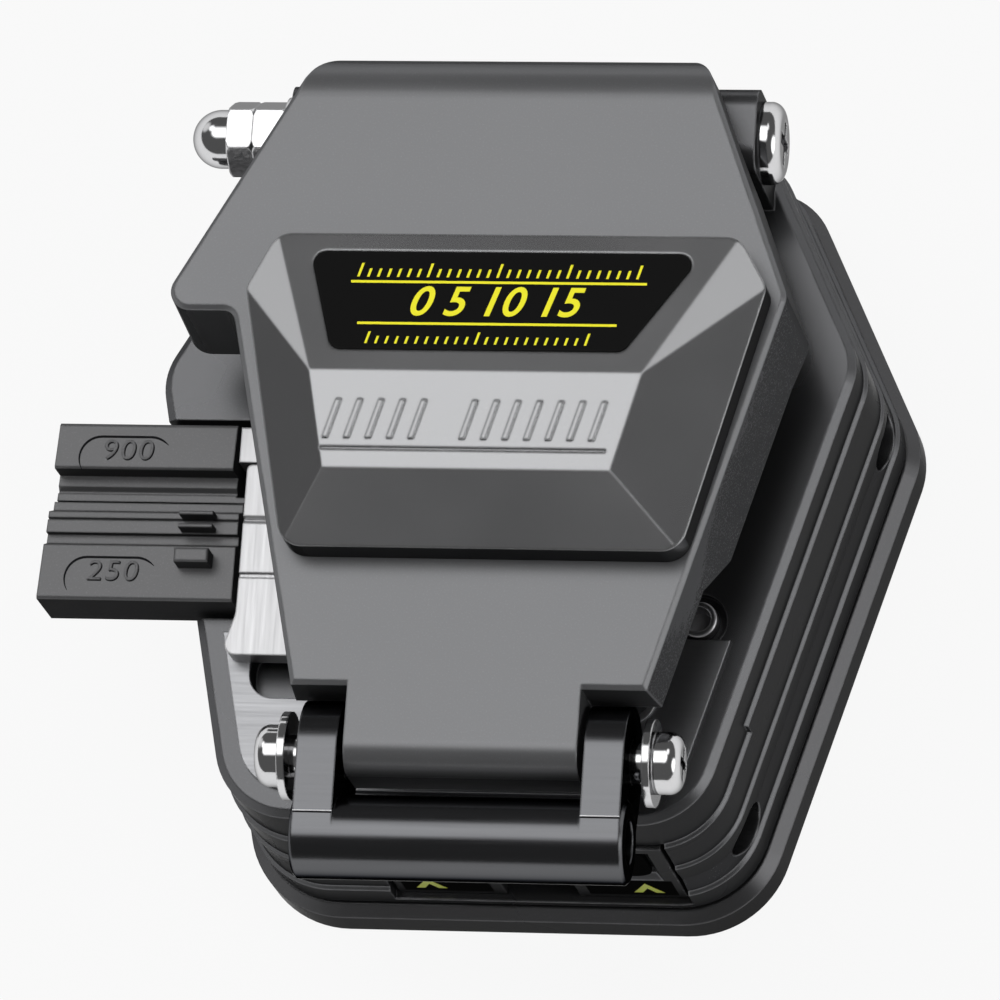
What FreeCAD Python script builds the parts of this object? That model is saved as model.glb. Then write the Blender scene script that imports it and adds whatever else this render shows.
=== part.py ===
"""Fibre cleaver: a bench tool that scores and snaps optical fibre.

Frame: +X to the right of the user, +Y away from the user, +Z up, millimetres.
The origin lies on the bench under the tool's plane of symmetry (X = 0),
level with the lid's widest corner (Y = 0).  Each sub-part is written to
parts/NODE.step.
"""

import math
import os

import FreeCAD
import Part

V = FreeCAD.Vector
X_AXIS = V(1, 0, 0)
Y_AXIS = V(0, 1, 0)
Z_AXIS = V(0, 0, 1)

# ---------------------------------------------------------------- clearances
SLIDE_GAP = 0.3        # between pieces that slide or swing past each other
RUN_GAP = 0.05         # radial clearance of a pin in its bore
SEAT_GAP = 0.05        # between a loose piece and the pocket that locates it
FAR = 200.0            # longer than anything here, for cutting tools

# ---------------------------------------------------------------- base plate
PAD_PROUD = 0.5        # how far the rubber pad stands below the base plate
PAD_SUNK = 0.6         # depth of the rubber pad in its recess
PAD_INSET = 8.0        # rubber pad's edge inside the body outline
BASE_WALL_TOP = 4.9    # top of the base plate's vertical edge
BASE_TOP = 6.1         # top of the base plate's bevel
BASE_GROW = 2.35       # base plate outline outside the body outline
BASE_BEVEL = 1.22
BASE_SCREW_RADIUS = 1.5
BASE_SCREW_HEAD_RADIUS = 2.8
BASE_SCREW_LENGTH = 9.0
BASE_SCREW_SPOTS = [(18.5, -38.2), (-26.1, -38.2), (15.5, 22.3), (-16.5, 22.3), (28.8, -0.6), (-33.2, -2.4)]

# ---------------------------------------------------------------------- body
# Corners of the body in plan: X, Y and the corner's radius.
BODY_OUTLINE = [
    (33.56, 0.57, 6.0),
    (20.9, 26.5, 5.0),
    (-22.4, 26.5, 5.0),
    (-38.2, -1.6, 6.5),
    (-28.1, -48.0, 8.0),
    (19.77, -48.0, 8.0),
]
SHADOW_TOP = 7.3       # top of the groove above the base plate
SHADOW_DEPTH = 1.0
FLANGE_TOP = 11.8      # ledge over the foot flange
FLANGE_STEP = 0.4
COVE_TOP = 19.4
COVE_DEPTH = 0.25
RIB_TOP = 20.3         # ledge over the cove
RIB_STEP = 0.33
LEDGE_STEP = 0.4
LEDGE_TOP_REAR = 29.7  # upper ledge along the sides and the rear
LEDGE_TOP_FRONT = 27.3  # upper ledge round the front
LEDGE_BREAK_Y = -36.0
DECK_Z = 35.4
DECK_CHAMFER = 0.8

# ------------------------------------------------- channel for the slider
CHANNEL_HALF_WIDTH = 15.45
CHANNEL_FLOOR = 8.4
CHANNEL_TOP = LEDGE_TOP_FRONT
CHANNEL_REAR_Y = 12.0
FRONT_Y = BODY_OUTLINE[4][1]

# ------------------------------------------------------------------ fibre line
FIBRE_Y = -18.0
PLATFORM_TOP = 38.8
FIBRE_SLOT_DEPTH = 0.4
PAD_SIZE_X = 7.0
PAD_SIZE_Y = 9.0
PAD_THICKNESS = 1.6
LOWER_PAD_PROUD = 0.1
UPPER_PAD_GAP = 0.45   # between upper and lower pads, room for the fibre
LEFT_PAD_X = -12.6
RIGHT_PAD_X = 1.8

# ------------------------------------------------------------------ slider
SLIDER_TRAVEL = 18.0
RAIL_WIDTH = 7.0
RAIL_HEIGHT = 5.0
RAIL_FRONT_Y = -44.0
RAIL_SCREW_PITCH = 15.0
RAIL_SCREW_COUNT = 3
RAIL_SCREW_RADIUS = 1.2
RAIL_HEAD_RADIUS = 2.1
RAIL_HEAD_DEPTH = 2.3
CARRIAGE_WIDTH = 17.0
CARRIAGE_LENGTH = 23.0
CARRIAGE_AHEAD = 9.0    # from the blade's axle to the carriage's rear end
CARRIAGE_RISE = 1.5    # underside of the carriage above the rail's base
CARRIAGE_TOP_RISE = 8.0
SLIDER_HALF_WIDTH = 12.5
SLIDER_LENGTH = 33.0
FACE_THICKNESS = 3.0
FACE_SIDE_GAP = 0.45   # between the push face and the channel's sides
FACE_FRAME = 2.2
FACE_RAIL_GAP = 0.3     # between the rail and the notch in the push face that passes over it
FACE_FRAME_DEPTH = 0.7
LABEL_THICKNESS = 0.5

# ------------------------------------------------------------------ blade
BLADE_X = -5.4
BLADE_RADIUS = 11.0
BLADE_THICKNESS = 1.4
BLADE_EDGE_ANGLE = 30.0
BLADE_OVER = 0.05      # cutting edge above the fibre's seat
BLADE_REST_Y = -28.0
BLADE_WELL_GAP = 0.8   # round the wheel's edge, where the carriage is hollowed for it
HUB_RADIUS = 7.0
HUB_THICKNESS = 2.2
HUB_NOTCHES = 16
NOTCH_RADIUS = 0.7
BLADE_BOLT_RADIUS = 2.0
BLADE_HEAD_RADIUS = 3.4
BLADE_HEAD_THICKNESS = 1.4
BLADE_SLOT_HALF_WIDTH = 2.3
CHEEK_LEFT = 1.6       # thickness of the slider's cheek under the bolt's head
CHEEK_RIGHT = 5.3
CHEEK_HALF_LENGTH = 3.6
BOLT_ROOM = 0.6        # free space round the cheeks and the bolt in the body

# ------------------------------------------------- platforms and deck plate
PLATE_THICKNESS = 0.6
PLATE_INSET = 2.7
PLATE_REAR_Y = -29.0
PLATE_HOLE_LEFT_X = -26.4
PLATE_HOLE_RIGHT_X = 9.0
PLATE_HOLE_FRONT_Y = -35.85
PLATE_HOLE_RADIUS = 2.5
PLATE_POCKET_DEPTH = 2.5
PLATFORM_LEFT_X = -27.7
PLATFORM_RIGHT_X = 15.0
PLATFORM_REAR_Y = -12.2
PLATFORM_FRONT_Y = -32.2
PLATFORM_FLARE = 1.25
PLATFORM_CORNER = 1.1
PLATFORM_FLARE_Y = -27.9
PLATFORM_SCREW_RADIUS = 1.0
PLATFORM_SCREW_DEPTH = 4.0
PLATFORM_SCREW_END_GAP = 0.5
PLATFORM_HEAD_RADIUS = 1.9
PLATFORM_HEAD_DEPTH = 1.3

# --------------------------------------------------------- fibre adapter
ADAPTER_LEFT_X = -47.65
ADAPTER_RIGHT_X = PLATFORM_LEFT_X - 0.48
ADAPTER_REAR_Y = -8.1
ADAPTER_FRONT_Y = -26.7
ADAPTER_BOTTOM = 31.9
ADAPTER_TOP = 39.0
ADAPTER_RAKE = 1.0     # how far the ends lean outwards from rear to front
ADAPTER_SHORT = 1.0    # rear block ends this much before the platform
CHANNEL_900_FRONT_Y = -15.2
BLOCK_900_FRONT_Y = -12.9
SHELF_REAR_Y = -15.9    # step between the 900 channel and the shelf behind the raised band
SHELF_DROP = 2.0
BAND_REAR_Y = -17.4
BAND_FRONT_Y = -19.6
GROOVE_250_DROP = 1.15
VEE_OFFSET = 0.14
VEE_HALF_WIDTH = 0.12
BLOCK_250_REAR_Y = -21.0
CHANNEL_900_DEPTH = 2.7
FIN_REAR_YS = (-17.65, -19.0)
FIN_INSET = 2.25       # from the adapter's right end
FIN_LENGTH = 3.5
FIN_WIDTH = 0.45
FIN_HEIGHT = 1.95      # above the raised band
STOP_REAR_Y = -21.85
STOP_WIDTH = 1.45
STOP_HEIGHT = 2.5
BAND_DROP = 0.33       # raised bands lie this far below the blocks
POCKET_FRONT_GAP = 0.75
POCKET_REAR_GAP = 1.6
DOWEL_RADIUS = 1.0
DOWEL_LENGTH = 5.0

# ------------------------------------------------------------------ deck stop
STOP_X = 19.0
STOP_Y = -26.9
STOP_RADIUS = 1.9
STOP_BORE = 1.3
STOP_PROUD = 0.8
STOP_DEPTH = 3.0
STOP_COUNTERBORE = 2.8

# ------------------------------------------------------- holes for the waste bin
BIN_HOLE_RADIUS = 2.9
BIN_HOLE_DEPTH = 4.0
WALL_LEAN = math.degrees(math.atan2(BODY_OUTLINE[0][0] - BODY_OUTLINE[5][0],
                                    BODY_OUTLINE[0][1] - BODY_OUTLINE[5][1]))
# Mouth of each hole on the right-hand wall and how far its axis leans forwards.
BIN_HOLES = [(21.8, -42.75, 14.9, WALL_LEAN), (33.1, -1.45, 15.0, 0.0)]

# ------------------------------------------------------------------ hinge
HINGE_Y = 20.85
HINGE_Z = 43.5
BOLT_RADIUS = 2.0
LUG_HALF_SPAN = 23.8
LUG_INNER = 17.2
LUG_FRONT_Y = 16.55
LUG_REAR_Y = 25.3
LUG_TOP = 49.0
LUG_RADIUS = 2.3
LUG_SWEEP = 7.5        # room that the lid leaves round the lugs
KNUCKLE_RADIUS = 5.0
HINGE_HEAD_RADIUS = 4.2
HINGE_HEAD_THICKNESS = 2.1
JAM_NUT_FLATS = 7.0
JAM_NUT_THICKNESS = 3.3
WASHER_RADIUS = 4.3
WASHER_THICKNESS = 1.0
ACORN_FLATS = 7.0
ACORN_HEX = 2.7
ACORN_DOME_RADIUS = 3.0
ACORN_LENGTH = 6.8

# ---------------------------------------------------------------------- lid
LID_TOP = 57.5
LID_SKIN = 2.8
LID_WALL = 2.4
# Outward growth of each wall down to the skirt, in the order of LID_OUTLINE's sides.
LID_DRAFT = [0.1, 0.1, 1.2, 1.2, 0.0, 1.2, 0.1]
LID_EDGE = 0.45        # chamfer round the top face
SKIRT_REAR_Z = 46.0
SKIRT_SIDE_Z = 46.8
SKIRT_FRONT_Z = 51.3
SKIRT_STEP_Y = -24.0   # the skirt climbs to its front height from here
SKIRT_STEP_LENGTH = 4.5
LID_REAR_Y = 26.05
LID_REAR_RADIUS = 5.5
NOTCH_Y = -40.45
TONGUE_HALF_WIDTH = 11.65
NOSE_Y = -46.0
NOSE_RADIUS = 3.0
TONGUE_BOTTOM = 49.2
# Corners of the lid's top in plan: X, Y and the corner's radius.
LID_OUTLINE = [
    (19.3, LID_REAR_Y + 0.1, 4.6),
    (-18.9, LID_REAR_Y + 0.1, 5.0),
    (-34.1, -1.85, 2.0),
    (-26.2, -1.85, 1.3),
    (-17.4, NOTCH_Y, 0.0),
    (18.1, NOTCH_Y, 0.0),
    (29.5, 0.2, 2.0),
]

# -------------------------------------------------------------------- badge
BADGE_RIM = 3.6        # height of the badge's upright rim
BADGE_RISE = 6.0       # height of its flat top over the lid
BADGE_OUTLINE = [
    (25.1, 5.0, 2.6),
    (-21.4, 5.0, 2.6),
    (-24.2, -0.8, 2.0),
    (-18.7, -27.45, 2.6),
    (21.2, -27.45, 2.6),
    (28.1, -0.2, 2.0),
]
BADGE_TOP_REAR_Y = -10.0
BADGE_TOP_FRONT_Y = -19.9
BADGE_TOP_HALF_WIDTH = 16.6
BADGE_LABEL = [(21.6, 3.0), (-17.8, 3.0), (-14.7, -7.7), (14.6, -7.7)]
BADGE_LABEL_RADIUS = 1.3
BADGE_LABEL_DEPTH = 0.3
# Rows of slanted ribs on the badge's flat top and the groove below them.
RIB_ROWS = [(-14.8, 5), (-1.1, 7)]
RIB_PITCH = 2.15
RIB_WIDTH = 0.55
RIB_SLANT = 0.28
RIB_REAR_Y = -13.0
RIB_FRONT_Y = -17.0
RIB_PROUD = 0.18
GROOVE_Y = -17.85
GROOVE_WIDTH = 0.3
GROOVE_DEPTH = 0.2
GROOVE_LEFT_X = -14.9
GROOVE_RIGHT_X = 13.6

# ------------------------------------------------- clamp and anvil in the lid
CLAMP_LEFT_X = -17.5
CLAMP_RIGHT_X = 6.7
CLAMP_DEPTH_Y = 12.0
CLAMP_LEG_HEIGHT = 6.0
CLAMP_STROKE = 1.2
ANVIL_HALF_WIDTH = 2.2
ANVIL_LENGTH_Y = 7.0
ANVIL_GAP = 0.55       # anvil face above the fibre's seat at rest
ANVIL_STROKE = 1.5
ANVIL_PAD = 1.5

# -------------------------------------------------------------- front lever
LEVER_Y = -46.3
LEVER_Z = 51.8
ARM_INNER = 12.3
ARM_OUTER = 16.3
EYE_RADIUS = 5.5
BAR_Y = -54.7
BAR_Z = 52.8
BAR_RADIUS = 4.2
BAR_BORE = 2.25
BAR_HALF_LENGTH = 16.6
SHOULDER_RADIUS = 2.1
SCREW_TIP_RADIUS = 1.5
SCREW_TIP_LENGTH = 6.0
LEVER_WASHER_RADIUS = 4.4
LEVER_WASHER_THICKNESS = 0.8
LEVER_WASHER_GAP = 1.5  # between the arm and the washer
LEVER_HEAD_RADIUS = 3.1
LEVER_HEAD_THICKNESS = 2.7

# ------------------------------------------------------------------ magnets
MAGNET_RADIUS = 2.0
MAGNET_HOUSING = 0.8   # wall of the post round the magnet
MAGNET_HEIGHT = 3.0
MAGNET_X = 12.5
MAGNET_Y = -35.2
MAGNET_GAP = 0.6       # between the lid's magnet and the striker plate


# ================================================================= helpers
def box(x0, x1, y0, y1, z0, z1):
    return Part.makeBox(x1 - x0, y1 - y0, z1 - z0, V(x0, y0, z0))


def cylinder_x(radius, x0, x1, y, z):
    return Part.makeCylinder(radius, x1 - x0, V(x0, y, z), X_AXIS)


def cylinder_y(radius, y0, y1, x, z):
    return Part.makeCylinder(radius, y1 - y0, V(x, y0, z), Y_AXIS)


def cylinder_z(radius, z0, z1, x, y):
    return Part.makeCylinder(radius, z1 - z0, V(x, y, z0), Z_AXIS)


def fuse_all(shapes):
    whole = shapes[0]
    for shape in shapes[1:]:
        whole = whole.fuse(shape)
    return whole.removeSplitter()


def cut_all(shape, tools):
    for tool in tools:
        shape = shape.cut(tool)
    return shape


def grown_corners(corners, grow):
    """Move the sides of a counter-clockwise polygon outwards, all by grow or each by its own."""
    count = len(corners)
    grows = grow if isinstance(grow, list) else [grow] * count
    lines = []
    for i in range(count):
        x0, y0, _ = corners[i]
        x1, y1, _ = corners[(i + 1) % count]
        length = math.hypot(x1 - x0, y1 - y0)
        dx = (x1 - x0) / length
        dy = (y1 - y0) / length
        lines.append((x0 + dy * grows[i], y0 - dx * grows[i], dx, dy))
    moved = []
    for i in range(count):
        ax, ay, adx, ady = lines[i - 1]
        bx, by, bdx, bdy = lines[i]
        cross = adx * bdy - ady * bdx
        t = ((bx - ax) * bdy - (by - ay) * bdx) / cross
        radius = corners[i][2]
        if radius > 0:
            change = (grows[i - 1] + grows[i]) / 2
            radius = max(radius + (change if cross > 0 else -change), 0.3)
        moved.append((ax + t * adx, ay + t * ady, radius))
    return moved


def outline(corners, z, grow=0.0):
    """Closed wire at height z through polygon corners with rounded corners."""
    points = grown_corners(corners, grow) if grow else list(corners)
    count = len(points)
    ends = []
    for i in range(count):
        x, y, radius = points[i]
        px, py, _ = points[i - 1]
        nx, ny, _ = points[(i + 1) % count]
        corner = V(x, y, z)
        if radius <= 0:
            ends.append((corner, None, corner))
            continue
        to_prev = V(px - x, py - y, 0).normalize()
        to_next = V(nx - x, ny - y, 0).normalize()
        half = to_prev.getAngle(to_next) / 2
        reach = radius / math.tan(half)
        bisector = (to_prev + to_next).normalize()
        middle = corner + bisector * (radius / math.sin(half) - radius)
        ends.append((corner + to_prev * reach, middle, corner + to_next * reach))
    edges = []
    for i in range(count):
        start, middle, end = ends[i]
        if middle is not None:
            edges.append(Part.Arc(start, middle, end).toShape())
        following = ends[(i + 1) % count][0]
        if end.distanceToPoint(following) > 1e-6:
            edges.append(Part.LineSegment(end, following).toShape())
    return Part.Wire(edges)


def slab(corners, z0, z1, grow=0.0):
    face = Part.Face(outline(corners, z0, grow))
    return face.extrude(V(0, 0, z1 - z0))


def tapered_slab(corners, z0, z1, grow0, grow1):
    wires = [outline(corners, z0, grow0), outline(corners, z1, grow1)]
    return Part.makeLoft(wires, True, True)


def profile_x(points, x0, x1):
    """Extrude a polygon given in Y and Z along X."""
    corners = [V(x0, y, z) for y, z in points]
    face = Part.Face(Part.makePolygon(corners + [corners[0]]))
    return face.extrude(V(x1 - x0, 0, 0))


def profile_y(points, y0, y1):
    """Extrude a polygon given in X and Z along Y."""
    corners = [V(x, y0, z) for x, z in points]
    face = Part.Face(Part.makePolygon(corners + [corners[0]]))
    return face.extrude(V(0, y1 - y0, 0))


def rectangle(x0, x1, y0, y1, radius=0.0):
    """Counter-clockwise corners of a rectangle for outline()."""
    return [(x1, y0, radius), (x1, y1, radius), (x0, y1, radius), (x0, y0, radius)]


def hexagon_x(flats, x0, x1, y, z):
    """Hexagonal bar along X with two flats facing up and down."""
    radius = flats / math.sqrt(3)
    points = []
    for i in range(6):
        angle = math.radians(60 * i)
        points.append((y + radius * math.cos(angle), z + radius * math.sin(angle)))
    bar = profile_x(points, x0, x1)
    crown = radius * 1.02
    bevel = crown - flats / 2
    barrel = cylinder_x(crown, x0, x1, y, z)
    barrel = barrel.makeChamfer(bevel * 0.6, barrel.Edges)
    return bar.common(barrel)


def cross_recess(x, y, z, size, depth, direction):
    """Cutting tool for a cross recess in a screw head whose face is at x."""
    width = size * 0.28
    x_in = x - direction * depth
    x0 = min(x, x_in)
    x1 = max(x, x_in)
    flat = box(x0, x1, y - size / 2, y + size / 2, z - width / 2, z + width / 2)
    upright = box(x0, x1, y - width / 2, y + width / 2, z - size / 2, z + size / 2)
    return flat.fuse(upright)


def pan_head_x(radius, thickness, x_seat, y, z, direction, recess):
    """Pan head along X: x_seat is its bearing face, direction its outward side."""
    rounding = thickness * 0.55
    profile = [
        V(0, 0, 0),
        V(0, radius, 0),
        V(thickness - rounding, radius, 0),
    ]
    crown = V(thickness, radius * 0.62, 0)
    bulge = V(thickness - rounding * 0.32, radius * 0.9, 0)
    edges = [
        Part.LineSegment(profile[0], profile[1]).toShape(),
        Part.LineSegment(profile[1], profile[2]).toShape(),
        Part.Arc(profile[2], bulge, crown).toShape(),
        Part.LineSegment(crown, V(thickness, 0, 0)).toShape(),
        Part.LineSegment(V(thickness, 0, 0), profile[0]).toShape(),
    ]
    head = Part.Face(Part.Wire(edges)).revolve(V(0, 0, 0), X_AXIS, 360)
    if direction < 0:
        head = head.mirror(V(0, 0, 0), X_AXIS)
    head.translate(V(x_seat, y, z))
    x_face = x_seat + direction * thickness
    tool = cross_recess(x_face, y, z, recess, thickness * 0.55, direction)
    return head.cut(tool)


def countersunk_up(radius, head_radius, length, z_head, x, y):
    """Countersunk screw pointing up, its flat head at z_head."""
    depth = head_radius - radius
    head = Part.makeCone(head_radius, radius, depth, V(x, y, z_head), Z_AXIS)
    shank = cylinder_z(radius, z_head + depth, z_head + length, x, y)
    socket = cylinder_z(radius * 0.6, z_head, z_head + depth * 0.8, x, y)
    return head.fuse(shank).cut(socket)


def cap_screw_down(radius, head_radius, head_depth, length, z_top, x, y):
    """Cap screw pointing down, the top of its head at z_top."""
    head = cylinder_z(head_radius, z_top - head_depth, z_top, x, y)
    shank = cylinder_z(radius, z_top - length, z_top - head_depth, x, y)
    socket = cylinder_z(head_radius * 0.5, z_top - head_depth * 0.6, z_top, x, y)
    return head.fuse(shank).cut(socket)


def save(name, shape):
    shape.exportStep(os.path.join("parts", name + ".step"))


# ================================================================ base plate
def make_base_plate():
    lower = slab(BODY_OUTLINE, PAD_PROUD, BASE_WALL_TOP, BASE_GROW)
    upper = tapered_slab(BODY_OUTLINE, BASE_WALL_TOP, BASE_TOP, BASE_GROW, BASE_GROW - BASE_BEVEL)
    plate = lower.fuse(upper).removeSplitter()
    tools = [slab(BODY_OUTLINE, 0, PAD_PROUD + PAD_SUNK, SEAT_GAP - PAD_INSET)]
    depth = BASE_SCREW_HEAD_RADIUS - BASE_SCREW_RADIUS
    for x, y in BASE_SCREW_SPOTS:
        tools.append(cylinder_z(BASE_SCREW_RADIUS, 0, BASE_TOP + 1, x, y))
        sink = Part.makeCone(BASE_SCREW_HEAD_RADIUS, BASE_SCREW_RADIUS, depth, V(x, y, PAD_PROUD), Z_AXIS)
        tools.append(sink)
    return cut_all(plate, tools)


def make_rubber_pad():
    """One rubber sheet let into the underside; the tool stands on it."""
    return slab(BODY_OUTLINE, 0, PAD_PROUD + PAD_SUNK, -PAD_INSET)


def make_base_screws():
    screws = []
    for x, y in BASE_SCREW_SPOTS:
        screws.append(countersunk_up(BASE_SCREW_RADIUS, BASE_SCREW_HEAD_RADIUS,
                                     BASE_SCREW_LENGTH, PAD_PROUD, x, y))
    return Part.makeCompound(screws)


# ====================================================================== body
def wall_steps(ledge_top):
    """Height and outward growth of each step of the wall: z0, z1, grow0, grow1."""
    rib_grow = LEDGE_STEP + RIB_STEP
    flange_grow = rib_grow + FLANGE_STEP
    steps = [
        (BASE_TOP, SHADOW_TOP, flange_grow - SHADOW_DEPTH, flange_grow - SHADOW_DEPTH),
        (SHADOW_TOP, FLANGE_TOP - FLANGE_STEP, flange_grow, flange_grow),
        (FLANGE_TOP - FLANGE_STEP, FLANGE_TOP, flange_grow, rib_grow),
    ]
    # The cove is a shallow hollow round the wall between two ledges.
    cove_steps = 2
    previous = (FLANGE_TOP, rib_grow)
    for i in range(1, cove_steps + 1):
        share = i / cove_steps
        z = FLANGE_TOP + (COVE_TOP - FLANGE_TOP) * share
        grow = rib_grow - COVE_DEPTH * math.sin(math.pi * share)
        steps.append((previous[0], z, previous[1], grow))
        previous = (z, grow)
    steps.append((COVE_TOP, RIB_TOP - RIB_STEP, rib_grow, rib_grow))
    steps.append((RIB_TOP - RIB_STEP, RIB_TOP, rib_grow, LEDGE_STEP))
    steps.append((RIB_TOP, ledge_top - LEDGE_STEP, LEDGE_STEP, LEDGE_STEP))
    steps.append((ledge_top - LEDGE_STEP, ledge_top, LEDGE_STEP, 0.0))
    steps.append((ledge_top, DECK_Z - DECK_CHAMFER, 0.0, 0.0))
    steps.append((DECK_Z - DECK_CHAMFER, DECK_Z, 0.0, -DECK_CHAMFER))
    return steps


def wall_stack(ledge_top):
    slices = []
    for z0, z1, grow0, grow1 in wall_steps(ledge_top):
        if abs(grow0 - grow1) < 1e-9:
            slices.append(slab(BODY_OUTLINE, z0, z1, grow0))
        else:
            slices.append(tapered_slab(BODY_OUTLINE, z0, z1, grow0, grow1))
    return fuse_all(slices)


def body_shell():
    """The stepped outer form of the housing, from the base plate to the deck."""
    rear = wall_stack(LEDGE_TOP_REAR).common(box(-FAR, FAR, LEDGE_BREAK_Y, FAR, 0, FAR))
    front = wall_stack(LEDGE_TOP_FRONT).common(box(-FAR, FAR, -FAR, LEDGE_BREAK_Y, 0, FAR))
    return rear.fuse(front).removeSplitter()


def channel_cut():
    """Channel for the slider, open at the front."""
    half = CHANNEL_HALF_WIDTH
    return box(-half, half, FRONT_Y - 5, CHANNEL_REAR_Y, CHANNEL_FLOOR, CHANNEL_TOP)


def cheek_range():
    """X range of the slider's cheeks on both sides of the blade."""
    return (BLADE_X - BLADE_SLOT_HALF_WIDTH - CHEEK_LEFT, BLADE_X + BLADE_SLOT_HALF_WIDTH + CHEEK_RIGHT)


def cheek_top():
    return blade_axle_z() + BLADE_HEAD_RADIUS + 0.05


def bolt_room():
    """Space in the channel's roof for the blade's cheeks and bolt along the stroke."""
    x0, x1 = cheek_range()
    length = CHEEK_HALF_LENGTH + BOLT_ROOM
    return box(x0 - BLADE_HEAD_THICKNESS - BOLT_ROOM, x1 + BOLT_ROOM, BLADE_REST_Y - length,
               BLADE_REST_Y + SLIDER_TRAVEL + length, CHANNEL_TOP - 1, cheek_top() + BOLT_ROOM)


def lug(side):
    """One upright lug that carries the hinge bolt."""
    x0 = LUG_INNER
    x1 = LUG_HALF_SPAN
    block = box(x0, x1, LUG_FRONT_Y, LUG_REAR_Y, DECK_Z - 2.0, LUG_TOP)
    top_edges = []
    for edge in block.Edges:
        box_of_edge = edge.BoundBox
        if box_of_edge.ZMin > LUG_TOP - 0.01 and box_of_edge.YLength < 0.01:
            top_edges.append(edge)
    block = block.makeFillet(LUG_RADIUS, top_edges)
    if side < 0:
        block = block.mirror(V(0, 0, 0), X_AXIS)
    return block


def bin_hole(x, y, z, lean):
    """Blind hole that enters the right-hand wall level."""
    lean = math.radians(lean)
    inward = V(-math.cos(lean), math.sin(lean), 0)
    start = V(x, y, z) - inward * 3.0
    return Part.makeCylinder(BIN_HOLE_RADIUS, 3.0 + BIN_HOLE_DEPTH, start, inward)


def adapter_pocket():
    y0 = ADAPTER_FRONT_Y - POCKET_FRONT_GAP
    y1 = ADAPTER_REAR_Y + POCKET_REAR_GAP
    return box(-FAR, PLATFORM_LEFT_X + 1.2, y0, y1, ADAPTER_BOTTOM, FAR)


def make_body():
    body = body_shell()
    body = fuse_all([body, lug(1), lug(-1)])
    bolt_hole = cylinder_x(BOLT_RADIUS, -FAR / 2, FAR / 2, HINGE_Y, HINGE_Z)
    blade_front = BLADE_REST_Y - BLADE_RADIUS - 1.0
    blade_rear = BLADE_REST_Y + SLIDER_TRAVEL + BLADE_RADIUS + 1.0
    tools = [channel_cut(), bolt_room(), bolt_hole, adapter_pocket()]
    tools.append(box(BLADE_X - BLADE_SLOT_HALF_WIDTH, BLADE_X + BLADE_SLOT_HALF_WIDTH,
                     blade_front, blade_rear, CHANNEL_TOP - 1, FAR))
    pocket = rectangle(PLATE_HOLE_LEFT_X, BLADE_X - BLADE_SLOT_HALF_WIDTH - 1.5,
                       PLATE_HOLE_FRONT_Y, PLATFORM_FRONT_Y + 2.0, PLATE_HOLE_RADIUS)
    tools.append(slab(pocket, DECK_Z - PLATE_POCKET_DEPTH, FAR))
    tools.append(cylinder_z(STOP_COUNTERBORE, DECK_Z - 0.8, FAR, STOP_X, STOP_Y))
    tools.append(cylinder_z(STOP_RADIUS, DECK_Z - STOP_DEPTH, FAR, STOP_X, STOP_Y))
    for spot in BIN_HOLES:
        tools.append(bin_hole(*spot))
    for x, y in BASE_SCREW_SPOTS:
        tools.append(cylinder_z(BASE_SCREW_RADIUS, 0, PAD_PROUD + BASE_SCREW_LENGTH, x, y))
    for y in rail_screw_spots():
        tools.append(cylinder_z(RAIL_SCREW_RADIUS, BASE_TOP, CHANNEL_FLOOR + 0.1, 0, y))
    for x, y in platform_screw_spots():
        tools.append(cylinder_z(PLATFORM_SCREW_RADIUS, DECK_Z - PLATFORM_SCREW_DEPTH, FAR, x, y))
    for x, y in dowel_spots():
        tools.append(cylinder_z(DOWEL_RADIUS, ADAPTER_BOTTOM - DOWEL_LENGTH / 2, FAR, x, y))
    tools.append(cylinder_z(MAGNET_RADIUS + MAGNET_HOUSING, DECK_Z - 1.2, FAR, MAGNET_X, MAGNET_Y))
    return cut_all(body, tools)


# ================================================= pieces fixed to the deck
def platform_screw_spots():
    y_front = PLATFORM_FRONT_Y + 4.4
    y_rear = PLATFORM_REAR_Y - 2.6
    return [(LEFT_PAD_X - 8.0, y_front), (LEFT_PAD_X - 8.0, y_rear),
            (RIGHT_PAD_X + 8.4, y_front), (RIGHT_PAD_X + 8.4, y_rear)]


def pad_cavity(x):
    seat = rectangle(x - PAD_SIZE_X / 2, x + PAD_SIZE_X / 2, FIBRE_Y - PAD_SIZE_Y / 2, FIBRE_Y + PAD_SIZE_Y / 2)
    return slab(seat, PLATFORM_TOP + LOWER_PAD_PROUD - PAD_THICKNESS, FAR)


def fibre_groove(x0, x1):
    """Narrow seat for the bare fibre, cut as a V along X."""
    depth = FIBRE_SLOT_DEPTH
    points = [(FIBRE_Y, PLATFORM_TOP - depth), (FIBRE_Y + depth, PLATFORM_TOP + 0.01),
              (FIBRE_Y - depth, PLATFORM_TOP + 0.01)]
    return profile_x(points, x0, x1)


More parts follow.
